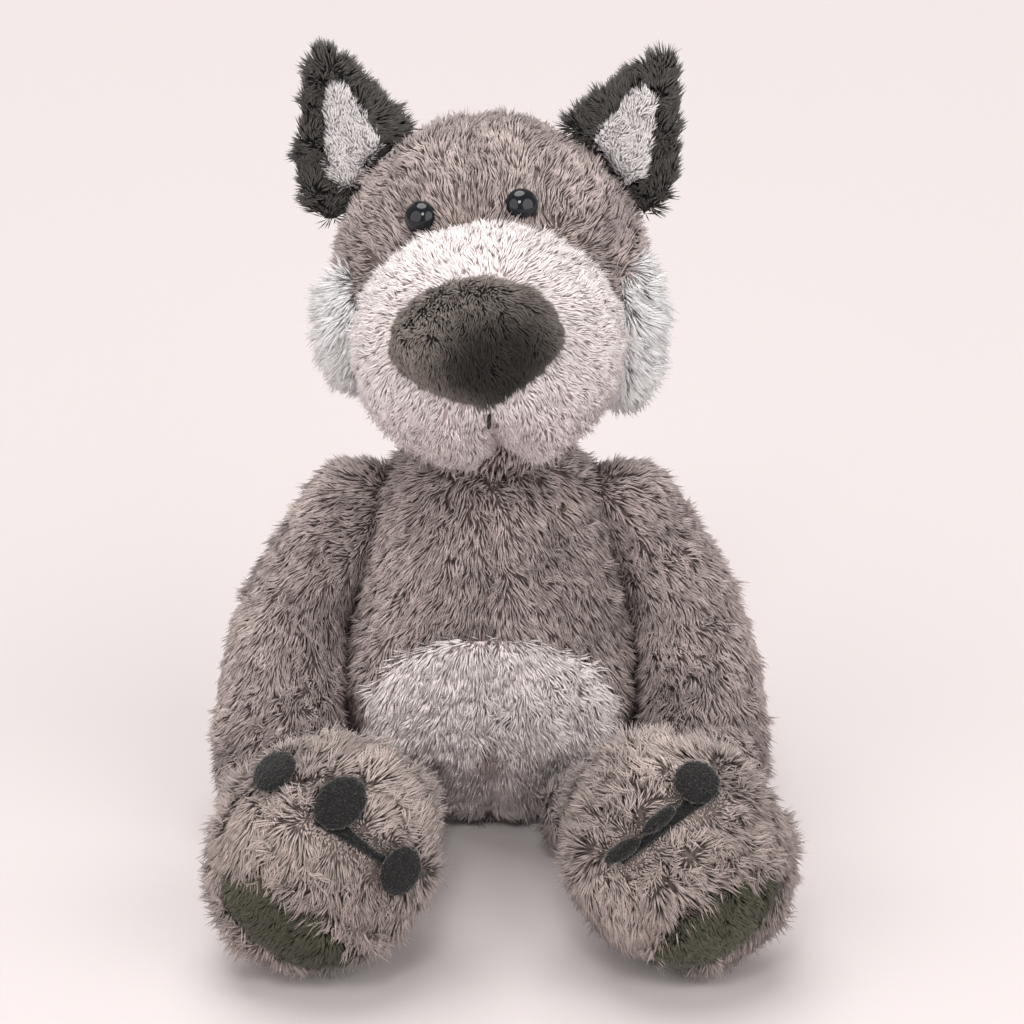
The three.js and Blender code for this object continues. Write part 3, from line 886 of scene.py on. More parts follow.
@dataclass(frozen=True)
class PlushFinish(Finish):
    """A cut-pile plush."""

    name: str
    root: Colour
    tip: Colour
    accent: Colour = (0.2, 0.14, 0.12)
    patches: float = 38.0
    patchiness: float = 0.5
    spread: float = 0.45
    sheen: float = 0.25
    softness: float = 0.6

    def shade(self, tree: Tree, shader: bpy.types.Node) -> None:
        """Colours the pile by its height, its tuft and broad patches."""
        colour = tree.add(
            "ShaderNodeGroup",
            node_tree=shader_group("pile_shade", build_pile_shade, PILE_INPUTS),
            in_Vector=own_place(tree),
            in_Height=attribute_in(tree, "height"),
            in_Own=attribute_in(tree, "own"),
            in_Accent_share=attribute_in(tree, "accent"),
            in_Root=(*self.root, 1),
            in_Tip=(*self.tip, 1),
            in_Accent=(*self.accent, 1),
            in_Patches=self.patches,
            in_Patchiness=self.patchiness,
            in_Spread=self.spread,
        )
        tree.give(
            shader,
            Base_Color=colour.outputs[0],
            Roughness=0.78,
            Specular_IOR_Level=0.25,
            Sheen_Weight=self.sheen,
            Sheen_Roughness=0.45,
            Normal=self.soft_normal(tree),
        )

    def soft_normal(self, tree: Tree) -> bpy.types.NodeSocket:
        """A normal between the tuft's own and its skin's, as a dense pile catches light."""
        skin = tree.add("ShaderNodeAttribute", attribute_name="skin").outputs["Vector"]
        turned = tree.add(
            "ShaderNodeVectorTransform",
            vector_type="NORMAL",
            convert_from="OBJECT",
            convert_to="WORLD",
            in_0=skin,
        ).outputs[0]
        own = tree.add("ShaderNodeNewGeometry").outputs["Normal"]
        both = tree.vectors(
            "ADD", tree.scaled(turned, self.softness), tree.scaled(own, 1 - self.softness)
        )
        return tree.vectors("NORMALIZE", both)


@dataclass(frozen=True)
class FeltFinish(Finish):
    """Pressed felt, or another dull speckled cloth."""

    name: str
    ground: Colour
    speck: Colour
    scale: float = 1500.0
    level: float = 0.6
    roughness: float = 0.95

    def shade(self, tree: Tree, shader: bpy.types.Node) -> None:
        """Speckles the cloth and roughens it with fibres."""
        place = own_place(tree)
        speckle = tree.add(
            "ShaderNodeGroup",
            node_tree=shader_group("speckle", build_speckle, SPECKLE_INPUTS),
            in_Vector=place,
            in_Scale=self.scale,
            in_Level=self.level,
            in_Ground=(*self.ground, 1),
            in_Speck=(*self.speck, 1),
        )
        fibres = tree.noise(place, self.scale * 0.6, 4.0)
        bump = tree.add("ShaderNodeBump", in_Strength=0.5, in_Distance=0.3 * MM, in_Height=fibres)
        tree.give(
            shader,
            Base_Color=speckle.outputs[0],
            Roughness=self.roughness,
            Specular_IOR_Level=0.2,
            Sheen_Weight=0.3,
            Normal=bump.outputs[0],
        )


@dataclass(frozen=True)
class MouldedFinish(Finish):
    """Moulded plastic, glossy or matt."""

    name: str
    colour: Colour
    roughness: float
    gloss: float = 0.5

    def shade(self, tree: Tree, shader: bpy.types.Node) -> None:
        """Gives the moulding its colour, a little uneven as it flowed and was handled."""
        flow = tree.noise(own_place(tree), 220.0, 3.0)
        tint = tree.maths("ADD", tree.maths("MULTIPLY", flow, 0.4), 0.8)
        ground = tree.add("ShaderNodeRGB")
        ground.outputs[0].default_value = (*self.colour, 1)
        handled = tree.maths("MULTIPLY", flow, self.roughness)
        tree.give(
            shader,
            Base_Color=tree.scaled(ground.outputs[0], tint),
            Roughness=tree.maths("ADD", handled, self.roughness * 0.5),
            Specular_IOR_Level=self.gloss,
        )


TAUPE = PlushFinish(
    "taupe_plush", (0.18, 0.142, 0.131), (0.575, 0.488, 0.463), patchiness=1.3, spread=0.3
)
FOOT = PlushFinish("foot_plush", (0.16, 0.13, 0.115), (0.5, 0.42, 0.39), patchiness=1.0, spread=0.3)
# The pale plush's accent is painted shade, laid under the muzzle and along its mouth crease.
PALE = PlushFinish(
    "pale_plush",
    (0.86, 0.73, 0.71),
    (0.97, 0.92, 0.91),
    accent=(0.66, 0.49, 0.47),
    patchiness=0.3,
    spread=0.15,
)
# The belly's accent is painted shade in the dimple low on its middle seam.
BELLY = PlushFinish(
    "belly_plush",
    (0.96, 0.84, 0.82),
    (0.99, 0.92, 0.905),
    accent=(0.55, 0.43, 0.41),
    patchiness=0.3,
    spread=0.12,
    softness=0.75,
)
# The nose's accent darkens its middle; the lighter tip colour left round it is a painted sheen.
NOSE = PlushFinish(
    "nose_plush",
    (0.04, 0.034, 0.029),
    (0.36, 0.315, 0.28),
    accent=(0.007, 0.0055, 0.005),
    patches=60.0,
    patchiness=0.9,
)
CHARCOAL = PlushFinish("charcoal_plush", (0.022, 0.02, 0.019), (0.13, 0.121, 0.113), spread=0.3)
LINING = PlushFinish(
    "ear_lining_plush", (0.66, 0.62, 0.62), (0.93, 0.89, 0.89), patchiness=0.2, spread=0.15
)
WHITE = PlushFinish(
    "white_longhair", (0.98, 0.965, 0.965), (0.985, 0.98, 0.98), patchiness=0.02, spread=0.04, softness=0.8
)
OLIVE = PlushFinish("olive_plush", (0.02, 0.021, 0.013), (0.125, 0.122, 0.085), spread=0.3)
FELT = FeltFinish("black_felt", (0.009, 0.0087, 0.0087), (0.055, 0.052, 0.05))
THREAD = FeltFinish("dark_thread", (0.012, 0.011, 0.01), (0.05, 0.05, 0.045), scale=3000.0)
FIBRE = FeltFinish("fibre_fill", (0.7, 0.69, 0.67), (0.85, 0.85, 0.84), scale=500.0)
SACKING = FeltFinish("lining_cloth", (0.6, 0.58, 0.54), (0.72, 0.7, 0.66), scale=900.0)
EYE = MouldedFinish("eye_black", (0.004, 0.006, 0.009), 0.03, gloss=0.45)
PAPER = PaperFinish("floor_paper", (0.62, 0.58, 0.578))
PLASTIC = MouldedFinish("washer_plastic", (0.66, 0.64, 0.58), 0.4)


def declare(
    obj: bpy.types.Object,
    finish: Finish,
    body: str,
    node: str,
    pile: Pile | None = None,
) -> None:
    """Gives a piece its finish and its coat, parents it to its body and hides the CAD node that it stands for.

    Args:
        obj: The piece, combed where it has a pile.
        finish: Its material, named after the record's slot.
        body: The CAD body that it rides on.
        node: The CAD node that it stands for.
        pile: The pile to grow on it.
    """
    if pile is None:
        obj.data.materials.append(finish.material())
    else:
        Coat(pile).grow(obj, finish.material())
    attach(obj, body)
    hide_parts(node)
    LOG.info("%s rides on %s, %d faces", obj.name, body, len(obj.data.polygons))


# ------------------------------------------------------------------ the head's own frame


@dataclass(frozen=True)
class HeadFrame:
    """The head's size, its middle, and the face that is sewn on a little askew."""

    width: float = 119 * MM
    depth: float = 106 * MM
    height: float = 126 * MM
    roll: float = math.radians(-8)
    yaw: float = math.radians(-2.5)

    @property
    def middle(self) -> np.ndarray:
        """The middle of the head."""
        low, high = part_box("head_shell")
        return np.array(((low.x + high.x) / 2, high.y - self.depth / 2, high.z - self.height / 2))

    @property
    def turn(self) -> np.ndarray:
        """The face's turn, as a matrix."""
        return np.array(Matrix.Rotation(self.yaw, 3, "Z") @ Matrix.Rotation(self.roll, 3, "Y"))

    def to_face(self, points: np.ndarray) -> np.ndarray:
        """Points in the face's frame: X across, Y back, Z up, from the head's middle."""
        return (points - self.middle) @ self.turn

    def from_face(self, offset: Sequence[float]) -> np.ndarray:
        """Where a place that is given in the face's frame lies in the toy's own."""
        return self.middle + self.turn @ np.array(offset)


HEAD = HeadFrame()


def groove(across: np.ndarray, width: float, depth: float) -> np.ndarray:
    """The depth of a sewn groove at a distance from its line."""
    return depth * np.exp(-((across / width) ** 2))


def oval(across: np.ndarray, width: float, up: np.ndarray, height: float) -> np.ndarray:
    """How far out places lie on an oval, 1 at its edge."""
    return np.hypot(across / (width / 2), up / (height / 2))


def spot(across: np.ndarray, width: float, up: np.ndarray, height: float) -> np.ndarray:
    """A soft round spot: 1 in its middle, falling away with the distance across and up."""
    return np.exp(-((across / width) ** 2) - (up / height) ** 2)


# ------------------------------------------------------------------ torso and neck


@dataclass
class Torso:
    """The pear-shaped body skin, with a paler panel let into its belly."""

    inset: float = 0.3 * MM
    voxel: float = 5 * MM
    clear: float = 1.2 * MM
    patch_width: float = 98 * MM
    patch_height: float = 84 * MM
    patch_lowest: float = 4 * MM
    dimple_height: float = 40 * MM
    patch_edge: float = 2 * MM
    patch_lift: float = 0.7 * MM
    patch_thickness: float = 1.6 * MM
    seam: float = 2.6 * MM
    seam_width: float = 3 * MM
    thinner: float = 0.35
    pile: Pile = Pile(7.5 * MM, width=0.63 * MM, per_mm2=1.7, seed=3, most=225_000)
    patch_pile: Pile = Pile(7.5 * MM, width=0.8 * MM, seed=4, clump=0.7, rise=0.35)

    def build(self) -> tuple[bpy.types.Object, bpy.types.Object]:
        """Makes the body's form and its belly panel."""
        low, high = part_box("torso_shell")
        front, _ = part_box("belly_patch")
        low.y = min(low.y, front.y)
        form = hull_form("torso_skin", ("torso_shell", "belly_patch"))
        remesh(form, self.voxel)
        fit_to(form, low, high, self.inset)
        centre = float(low.x + high.x) / 2
        points = points_of(form.data)
        held = groove(points[:, 0] - centre, SEAM_HOLD, 1)
        Stuffing(swell=2.5 * MM).puff(form, held * 0.9)
        subdivide(form)
        points = keep_above(form, self.clear)
        across = points[:, 0] - centre
        up = points[:, 2] - self.patch_lowest - self.patch_height / 2
        ring = oval(across, self.patch_width, up, self.patch_height)
        depth = groove(across, self.seam_width, self.seam) * (np.abs(points[:, 1]) > 10 * MM)
        edge = groove((ring - 1) * self.patch_height / 2, self.seam_width, self.patch_edge)
        crease(form, depth + edge * (points[:, 1] < low.y / 3))
        keep = (ring < 0.985) & (points[:, 1] < (low.y + high.y) / 2)
        panel = panel_of("belly_panel", form, keep, self.patch_lift, self.patch_thickness)
        self.comb_skin(form, centre, keep)
        self.comb_panel(panel, centre)
        return form, panel

    def comb_skin(self, form: bpy.types.Object, centre: float, under: np.ndarray) -> None:
        """Combs the body's pile downwards and away from its front seam."""
        points = points_of(form.data)
        across = np.clip((points[:, 0] - centre) / (30 * MM), -1, 1)
        lean = DOWN + np.outer(np.clip(across * 3, -1, 1), (0.45, 0, 0))
        cover = np.where(under, 0.0, 1.0) * np.where(points[:, 2] < 3 * MM, 0.0, 1.0)
        cover *= 1 - self.thinner * smooth_step(points[:, 1], 0, 20 * MM)
        length = np.where(points[:, 2] < 12 * MM, 0.6, 1.0) * self.pile.length
        comb(form, lean, length, cover)

    def comb_panel(self, panel: bpy.types.Object, centre: float) -> None:
        """Combs the belly's pile downwards, with painted shade in a dimple low on its middle seam."""
        points = points_of(panel.data)
        normals = normals_of(panel.data)
        across = points[:, 0] - centre
        lean = DOWN + np.outer(np.clip(across / (30 * MM), -1, 1), (0.5, 0, 0))
        cover = np.where(normals[:, 1] < 0.2, 1.0, 0.0)
        # Painted shade: the accent darkens a small spot where the middle seam dips in, low on the belly.
        dimple = spot(across, 5 * MM, points[:, 2] - self.dimple_height, 9 * MM)
        comb(panel, lean, self.patch_pile.length, cover, dimple * 0.8)

    def dress(self, form: bpy.types.Object, panel: bpy.types.Object) -> None:
        """Grows both coats and declares both pieces."""
        declare(form, TAUPE, "torso", "torso_shell", self.pile)
        declare(panel, BELLY, "torso", "belly_patch", self.patch_pile)


@dataclass
class Neck:
    """The short furred neck between body and head."""

    radius: float = 31 * MM
    depth_share: float = 0.9
    reach: float = 15 * MM
    raised: float = 2 * MM
    voxel: float = 4 * MM
    pile: Pile = Pile(6 * MM, per_mm2=0.5, width=1.1 * MM, seed=7)

    def build(self) -> bpy.types.Object:
        """Makes a round collar that runs into the body below and the head above."""
        middle = centre_of("neck_stuffing")
        bm = bmesh.new()
        bmesh.ops.create_uvsphere(bm, u_segments=36, v_segments=18, radius=self.radius)
        bmesh.ops.scale(bm, verts=bm.verts, vec=(1, self.depth_share, self.reach / self.radius))
        bmesh.ops.translate(bm, verts=bm.verts, vec=Vector(middle) + Vector((0, 0, self.raised)))
        skin = remesh(from_bmesh("neck_skin", bm), self.voxel, 2)
        comb(skin, DOWN, self.pile.length)
        return skin

    def dress(self, skin: bpy.types.Object) -> None:
        declare(skin, TAUPE, "neck", "neck_stuffing", self.pile)


# ------------------------------------------------------------------ head, muzzle and nose


@dataclass
class Skull:
    """The round head skin, with its sewn crown."""

    inset: float = 1.8 * MM
    voxel: float = 5 * MM
    seam: float = 1.6 * MM
    seam_width: float = 2.6 * MM
    side_seam: float = 22 * MM
    brow_height: float = 26 * MM
    thinner: float = 0.35
    pile: Pile = Pile(6 * MM, width=0.56 * MM, per_mm2=2.0, seed=11, swirl=0.8, most=220_000)

    def build(self, hidden: Sequence[BVHTree]) -> bpy.types.Object:
        """Makes the head's form, with its coat left off where other pieces cover it.

        Args:
            hidden: The surfaces of the pieces that cover it.

        Returns:
            The head's skin, combed.
        """
        size = np.array((HEAD.width, HEAD.depth, HEAD.height)) - 2 * self.inset
        form = ball_form("head_skin", size, HEAD.middle, np.eye(3))
        remesh(form, self.voxel, 2)
        face = HEAD.to_face(points_of(form.data))
        held = groove(face[:, 0], SEAM_HOLD, 1) * (face[:, 2] > 0)
        Stuffing(swell=2 * MM).puff(form, held * 0.9)
        subdivide(form)
        face = HEAD.to_face(points_of(form.data))
        crown = groove(face[:, 0], self.seam_width, self.seam) * smooth_step(face[:, 2], 0, 30 * MM)
        arcs = np.abs(face[:, 0]) - (self.side_seam + 0.25 * np.abs(face[:, 1] + 30 * MM))
        side = groove(arcs, self.seam_width, self.seam) * smooth_step(face[:, 2], 15 * MM, 40 * MM)
        crease(form, crown + side)
        points = points_of(form.data)
        face = HEAD.to_face(points)
        lean = unit(points - HEAD.from_face((0, -60 * MM, 5 * MM)))
        lean += np.outer(smooth_step(face[:, 1], 0, 45 * MM), DOWN) * 1.2
        cover = 1 - self.thinner * smooth_step(face[:, 1], 0, 20 * MM)
        for tree in hidden:
            cover *= np.where(distances(points, tree, COAT_REACH) < -2 * MM, 0.0, 1.0)
        brow = spot(face[:, 0], 15 * MM, face[:, 2] - self.brow_height, 13 * MM)
        comb(form, lean, self.pile.length, cover, brow * (face[:, 1] < 0) * 0.5)
        return form

    def dress(self, form: bpy.types.Object) -> None:
        declare(form, TAUPE, "head", "head_shell", self.pile)


@dataclass
class Muzzle:
    """The bulbous pale muzzle: two jowls with a sewn mouth between them."""

    width: float = 98 * MM
    depth: float = 84 * MM
    height: float = 90 * MM
    forward: float = 50 * MM
    drop: float = 10 * MM
    inset: float = 0.9 * MM
    voxel: float = 4.5 * MM
    mouth: float = 11 * MM
    mouth_width: float = 8 * MM
    stitched: float = 1.5 * MM
    stitched_width: float = 2.2 * MM
    pile: Pile = Pile(5.5 * MM, width=0.56 * MM, per_mm2=2.2, seed=21, swirl=0.45, most=195_000)

    def build(self) -> bpy.types.Object:
        """Makes the muzzle's form and its mouth."""
        size = Vector((self.width, self.depth, self.height)) - Vector((2 * self.inset,) * 3)
        form = ball_form("muzzle_skin", size, HEAD.middle, HEAD.turn, (0, -self.forward, -self.drop))
        remesh(form, self.voxel, 2)
        face = HEAD.to_face(points_of(form.data))
        held = groove(face[:, 0], SEAM_HOLD, 1) * (face[:, 2] < -20 * MM)
        Stuffing(swell=2 * MM).puff(form, held * 0.95)
        subdivide(form)
        face = HEAD.to_face(points_of(form.data))
        below = smooth_step(face[:, 2], -20 * MM, -42 * MM)
        ahead = smooth_step(face[:, 1], -40 * MM, -62 * MM)
        fold = groove(face[:, 0], self.mouth_width, self.mouth)
        fold += groove(face[:, 0], self.stitched_width, self.stitched)
        crease(form, fold * below * np.maximum(ahead, below * 0.8))
        return form

    def comb(self, form: bpy.types.Object, hidden: Sequence[BVHTree]) -> None:
        """Combs the muzzle's pile away from the nose and down over the jowls, and paints shade under it and along
        its mouth crease.

        Args:
            form: The muzzle's skin.
            hidden: The surfaces of the pieces that cover it.
        """
        points = points_of(form.data)
        face = HEAD.to_face(points)
        lean = unit(points - HEAD.from_face((0, -100 * MM, 6 * MM))) + DOWN * 0.55
        cover = np.ones(len(points))
        for tree in hidden:
            cover *= np.where(distances(points, tree, COAT_REACH) < -1.5 * MM, 0.0, 1.0)
        sewn = (points - centre_of("mouth_stitch") - (0, 0, 2 * MM)) / (3 * MM, 20 * MM, 4.5 * MM)
        length = self.pile.length * (1 - 0.75 * np.exp(-(sewn**2).sum(1)))
        # Painted shade: the accent colour darkens the muzzle towards its underside, where less of the light from
        # above reaches, and along the sewn mouth crease.
        low = smooth_step(face[:, 2], -5 * MM, -45 * MM) * 0.28
        line = groove(face[:, 0], 2.5 * MM, 0.5) * smooth_step(face[:, 2], -22 * MM, -30 * MM)
        comb(form, lean, length, cover, np.clip(low + line, 0, 1))

    def dress(self, form: bpy.types.Object) -> None:
        declare(form, PALE, "head", "muzzle_shell", self.pile)


@dataclass
class Nose:
    """The big soft nose: a rounded triangle, point down."""

    inset: float = 1.6 * MM
    voxel: float = 3 * MM
    point: float = 0.5
    pile: Pile = Pile(4.2 * MM, width=0.5 * MM, per_mm2=3.4, seed=31, rise=0.6, clump=0.8)

    def build(self) -> bpy.types.Object:
        """Makes the nose's form."""
        form = hull_form("nose_skin", ("nose_cover",))
        remesh(form, self.voxel, 6)
        low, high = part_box("nose_cover")
        fit_to(form, low, high, self.inset)
        Stuffing(swell=1.5 * MM).puff(form)
        subdivide(form)
        face = HEAD.to_face(points_of(form.data))
        centre = (face.min(0) + face.max(0)) / 2
        half = np.ptp(face, 0) / 2
        low = np.clip((centre[2] - face[:, 2]) / half[2], 0, 1)
        across = face[:, 0] - centre[0]
        face[:, 0] = centre[0] + across * (1.05 - self.point * low**1.7)
        points = HEAD.middle + face @ HEAD.turn.T
        set_points(form.data, points)
        lean = unit(points - HEAD.from_face((-26 * MM, -70 * MM, 52 * MM))) + DOWN * 0.4
        # Painted sheen: the accent darkens the middle of the nose, a little low and towards the toy's left, so
        # that its edges, most of all high on the toy's right, keep the lighter tip colour as a sheen.
        shaded = np.hypot(across / half[0] - 0.25, (face[:, 2] - centre[2]) / half[2] * 0.8 + 0.2)
        comb(form, lean, self.pile.length, accent=smooth_step(shaded, 1.15, 0.35) * 0.9)
        return form

    def dress(self, form: bpy.types.Object) -> None:
        declare(form, NOSE, "head", "nose_cover", self.pile)


@dataclass
class MouthStitch:
    """Short stitches of dark thread where the mouth starts."""

    thread: float = 0.8 * MM
    length: float = 2.1 * MM
    lift: float = 3.4 * MM
    places: tuple[tuple[float, float], ...] = ((4.2 * MM, 0.14), (2.4 * MM, -0.1), (0.5 * MM, 0.1))

    def build(self, muzzle: BVHTree) -> bpy.types.Object:
        """Makes three short stitches, one below another.

        Args:
            muzzle: The surface that they are sewn on.

        Returns:
            The stitches.
        """
        middle = Vector(centre_of("mouth_stitch"))
        bm = bmesh.new()
        for step, lean in self.places:
            made = bmesh.ops.create_uvsphere(bm, u_segments=10, v_segments=8, radius=1.0)
            verts = made["verts"]
            bmesh.ops.scale(bm, verts=verts, vec=(self.thread, self.thread, self.length))
            bmesh.ops.rotate(bm, verts=verts, matrix=Matrix.Rotation(lean, 3, "Y"))
            place = middle + Vector((0, 0, step))
            found, *_ = muzzle.ray_cast(Vector((place.x, -1.0, place.z)), Vector((0, 1, 0)))
            place.y = (found or place).y - self.lift
            bmesh.ops.translate(bm, verts=verts, vec=place)
        return from_bmesh("mouth_thread", bm)

    def dress(self, obj: bpy.types.Object) -> None:
        declare(obj, THREAD, "head", "mouth_stitch")


@dataclass
class Eye:
    """A glossy moulded eye: a dome on a shank."""

    side: Side
    radius: float = 6 * MM
    dome: float = 4.6 * MM
    shank: float = 2 * MM
    length: float = 11 * MM
    proud: float = -1.6 * MM
    rim: float = 0.4 * MM
    steps: int = 14

    def build(self) -> bpy.types.Object:
        """Turns the eye's outline about the axis that its washer gives."""
        node = f"eye_{self.side.word}"
        washer = Vector(centre_of(f"eye_washer_{self.side.word}"))
        points = [v.co for v in frame["nodes"][node].data.vertices]
        apex = max(points, key=lambda p: (p - washer).length)
        axis = (apex - washer).normalized()
        outline = [Vector((0, 0, -self.length)), Vector((self.shank, 0, -self.length))]
        outline += [Vector((self.shank, 0, -self.rim)), Vector((self.radius * 0.93, 0, -self.rim))]
        for step in range(self.steps + 1):
            angle = step / self.steps * math.pi / 2
            outline.append(Vector((self.radius * math.cos(angle), 0, self.dome * math.sin(angle))))
        bm = bmesh.new()
        verts = [bm.verts.new(p) for p in outline]
        edges = [bm.edges.new(pair) for pair in zip(verts, verts[1:])]
        bmesh.ops.spin(
            bm, geom=verts + edges, axis=(0, 0, 1), cent=(0, 0, 0), angle=math.tau, steps=48, use_merge=True
        )
        bmesh.ops.remove_doubles(bm, verts=bm.verts, dist=1e-6)
        turn = axis.to_track_quat("Z", "Y").to_matrix().to_4x4()
        place = apex - axis * (self.dome - self.proud)
        bmesh.ops.transform(bm, matrix=Matrix.Translation(place) @ turn, verts=bm.verts)
        return from_bmesh(f"eye_dome_{self.side.word}", bm)

    def dress(self, obj: bpy.types.Object) -> None:
        declare(obj, EYE, "head", f"eye_{self.side.word}")
        washer = frame["nodes"][f"eye_washer_{self.side.word}"]
        washer.data.materials.clear()
        washer.data.materials.append(PLASTIC.material())


# ------------------------------------------------------------------ ears and cheeks


@dataclass
class Ear:
    """A cupped ear: a charcoal back that wraps a pale lining."""

    side: Side
    voxel: float = 1.8 * MM
    inset: float = 0.4 * MM
    lining_voxel: float = 1.4 * MM
    lining_share: float = 0.72
    pile: Pile = Pile(6.5 * MM, width=0.55 * MM, per_mm2=2.8, seed=41, rise=0.45, swirl=0.6)
    lining_pile: Pile = Pile(4 * MM, width=0.55 * MM, per_mm2=3.2, seed=43, rise=0.5)

    def build(self) -> tuple[bpy.types.Object, bpy.types.Object]:
        """Makes the ear's back and its lining."""
        word = self.side.word
        back = grown_form(f"ear_skin_{word}", f"ear_back_{word}", 0)
        remesh(back, self.voxel, 6)
        crease(back, self.inset)
        lining = grown_form(f"ear_panel_{word}", f"ear_lining_{word}", 0)
        remesh(lining, self.lining_voxel, 5)
        root, tip = self.root_and_tip()
        side = unit(np.cross(tip - root, FRONT))
        self.narrow(lining, side)
        points = points_of(back.data)
        across = (points - root) @ side
        lean = unit(tip - root) + np.outer(across / (18 * MM), side)
        covered = distances(points, tree_of(lining), COAT_REACH) < 1.2 * MM
        comb(back, lean, self.pile.length, np.where(covered, 0.0, 1.0))
        comb(lining, unit(tip - root), self.lining_pile.length)
        return back, lining

    def narrow(self, lining: bpy.types.Object, side: np.ndarray) -> None:
        """Draws the lining in from both edges, so that the dark border shows round it."""
        points = points_of(lining.data)
        across = (points - points.mean(0)) @ side
        set_points(lining.data, points - np.outer(across * (1 - self.lining_share), side))

    def root_and_tip(self) -> tuple[np.ndarray, np.ndarray]:
        """The middle of the ear's base and its tip."""
        points = points_of(frame["nodes"][f"ear_back_{self.side.word}"].data)
        tip = points[points[:, 2].argmax()]
        base = points[points[:, 2] < points[:, 2].min() + 20 * MM].mean(0)
        return base, tip

    def dress(self, back: bpy.types.Object, lining: bpy.types.Object) -> None:
        """Grows the ear's coats and declares its pieces."""
        word = self.side.word
        declare(back, CHARCOAL, f"ear_{word}", f"ear_back_{word}", self.pile)
        declare(lining, LINING, f"ear_{word}", f"ear_lining_{word}", self.lining_pile)


@dataclass
class Cheek:
    """A tuft of long white hair at the side of the face."""

    side: Side
    voxel: float = 2.5 * MM
    inset: float = 4 * MM
    hub: float = 30 * MM
    pile: Pile = Pile(
            10 * MM,
            width=0.75 * MM,
            per_mm2=3.2,
            seed=51,
            rise=0.65,
            clump=1.0,
            uneven=1.5,
            stray=0.25,
            bend=0.45,
        )

    @property
    def tall(self) -> float:
        """How much of its room's height the tuft fills; the right one is lower."""
        return 0.72 if self.side is Side.RIGHT else 0.95

    def build(self) -> bpy.types.Object:
        """Makes the cheek's form and combs it outwards and down."""
        word = self.side.word
        form = grown_form(f"cheek_skin_{word}", f"cheek_{word}", 0)
        remesh(form, self.voxel, 8)
        points = points_of(form.data)
        inner = HEAD.middle + np.array((self.side.value * self.hub, 0, 0))
        points -= unit(points - inner) * self.inset
        middle = (points.min(0) + points.max(0)) / 2
        points[:, 2] = middle[2] + (points[:, 2] - middle[2]) * self.tall
        set_points(form.data, points)
        lean = DOWN * 1.0 + FRONT * -0.2 + np.array((self.side.value * 0.7, 0, 0))
        comb(form, lean, self.pile.length)
        return form

    def dress(self, form: bpy.types.Object) -> None:
        declare(form, WHITE, "head", f"cheek_{self.side.word}", self.pile)


# ------------------------------------------------------------------ limbs


@dataclass
class Limb:
    """An arm, a leg or the tail: a stuffed tube with round ends."""

    kind: str
    word: str
    inset: float = 0.8 * MM
    clear: float = 1.5 * MM
    snug: float = 0.0
    root_overlap: float = 0.0
    end_overlap: float = 0.0
    sewn_within: float = 15 * MM
    sewn_reach: float = 48 * MM
    voxel: float = 3.5 * MM
    fill: float = 0.6
    pile: Pile = Pile(7 * MM, width=0.64 * MM, per_mm2=1.35, seed=61)

    def named(self, part: str = "") -> str:
        """One of the limb's pieces, or its body where no part is given."""
        return "_".join(filter(None, (self.kind, part, self.word)))

    def build(self, root: Sequence[float]) -> bpy.types.Object:
        """Makes the limb's form and combs it from its root to its end.

        Args:
            root: Where it is sewn on.

        Returns:
            The limb's skin.
        """
        shell, stuffing = self.named("shell"), self.named("stuffing")
        wall = float((size_of(shell) - size_of(stuffing))[:2].min()) / 2
        form = grown_form(self.named("skin"), stuffing, max(wall - self.inset, -2 * MM))
        remesh(form, self.voxel, 6)
        fit_to(form, *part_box(shell), self.inset)
        Stuffing(swell=1.2 * MM).puff(form)
        subdivide(form)
        points = points_of(form.data)
        points[:, 2] = np.maximum(points[:, 2], self.clear)
        out = np.sign(points[:, 0].mean()) * (abs(points[:, 0].mean()) > 20 * MM)
        inner = smooth_step(out * normals_of(form.data)[:, 0], 0.2, -0.7)
        points[:, 0] -= out * inner * self.snug
        set_points(form.data, points)
        root = np.array(root)
        far = points[np.linalg.norm(points - root, axis=1).argmax()]
        along = unit(far - root)
        share = (points - root) @ along / np.linalg.norm(far - root)
        stretch = smooth_step(share, 0.5, 1) * self.end_overlap
        stretch -= smooth_step(share, 0.5, 0) * self.root_overlap
        points += np.outer(stretch, along)
        set_points(form.data, points)
        sewn = smooth_step(np.linalg.norm(points - root, axis=1), self.sewn_reach, self.sewn_within)
        lean = unit(far - root) + (out * 0.3, 0, -0.2)
        comb(form, lean + np.outer(sewn, (out * 2.6, 0, 0)), self.pile.length)
        return form

    def dress(self, form: bpy.types.Object) -> None:
        declare(form, TAUPE, self.named(), self.named("shell"), self.pile)


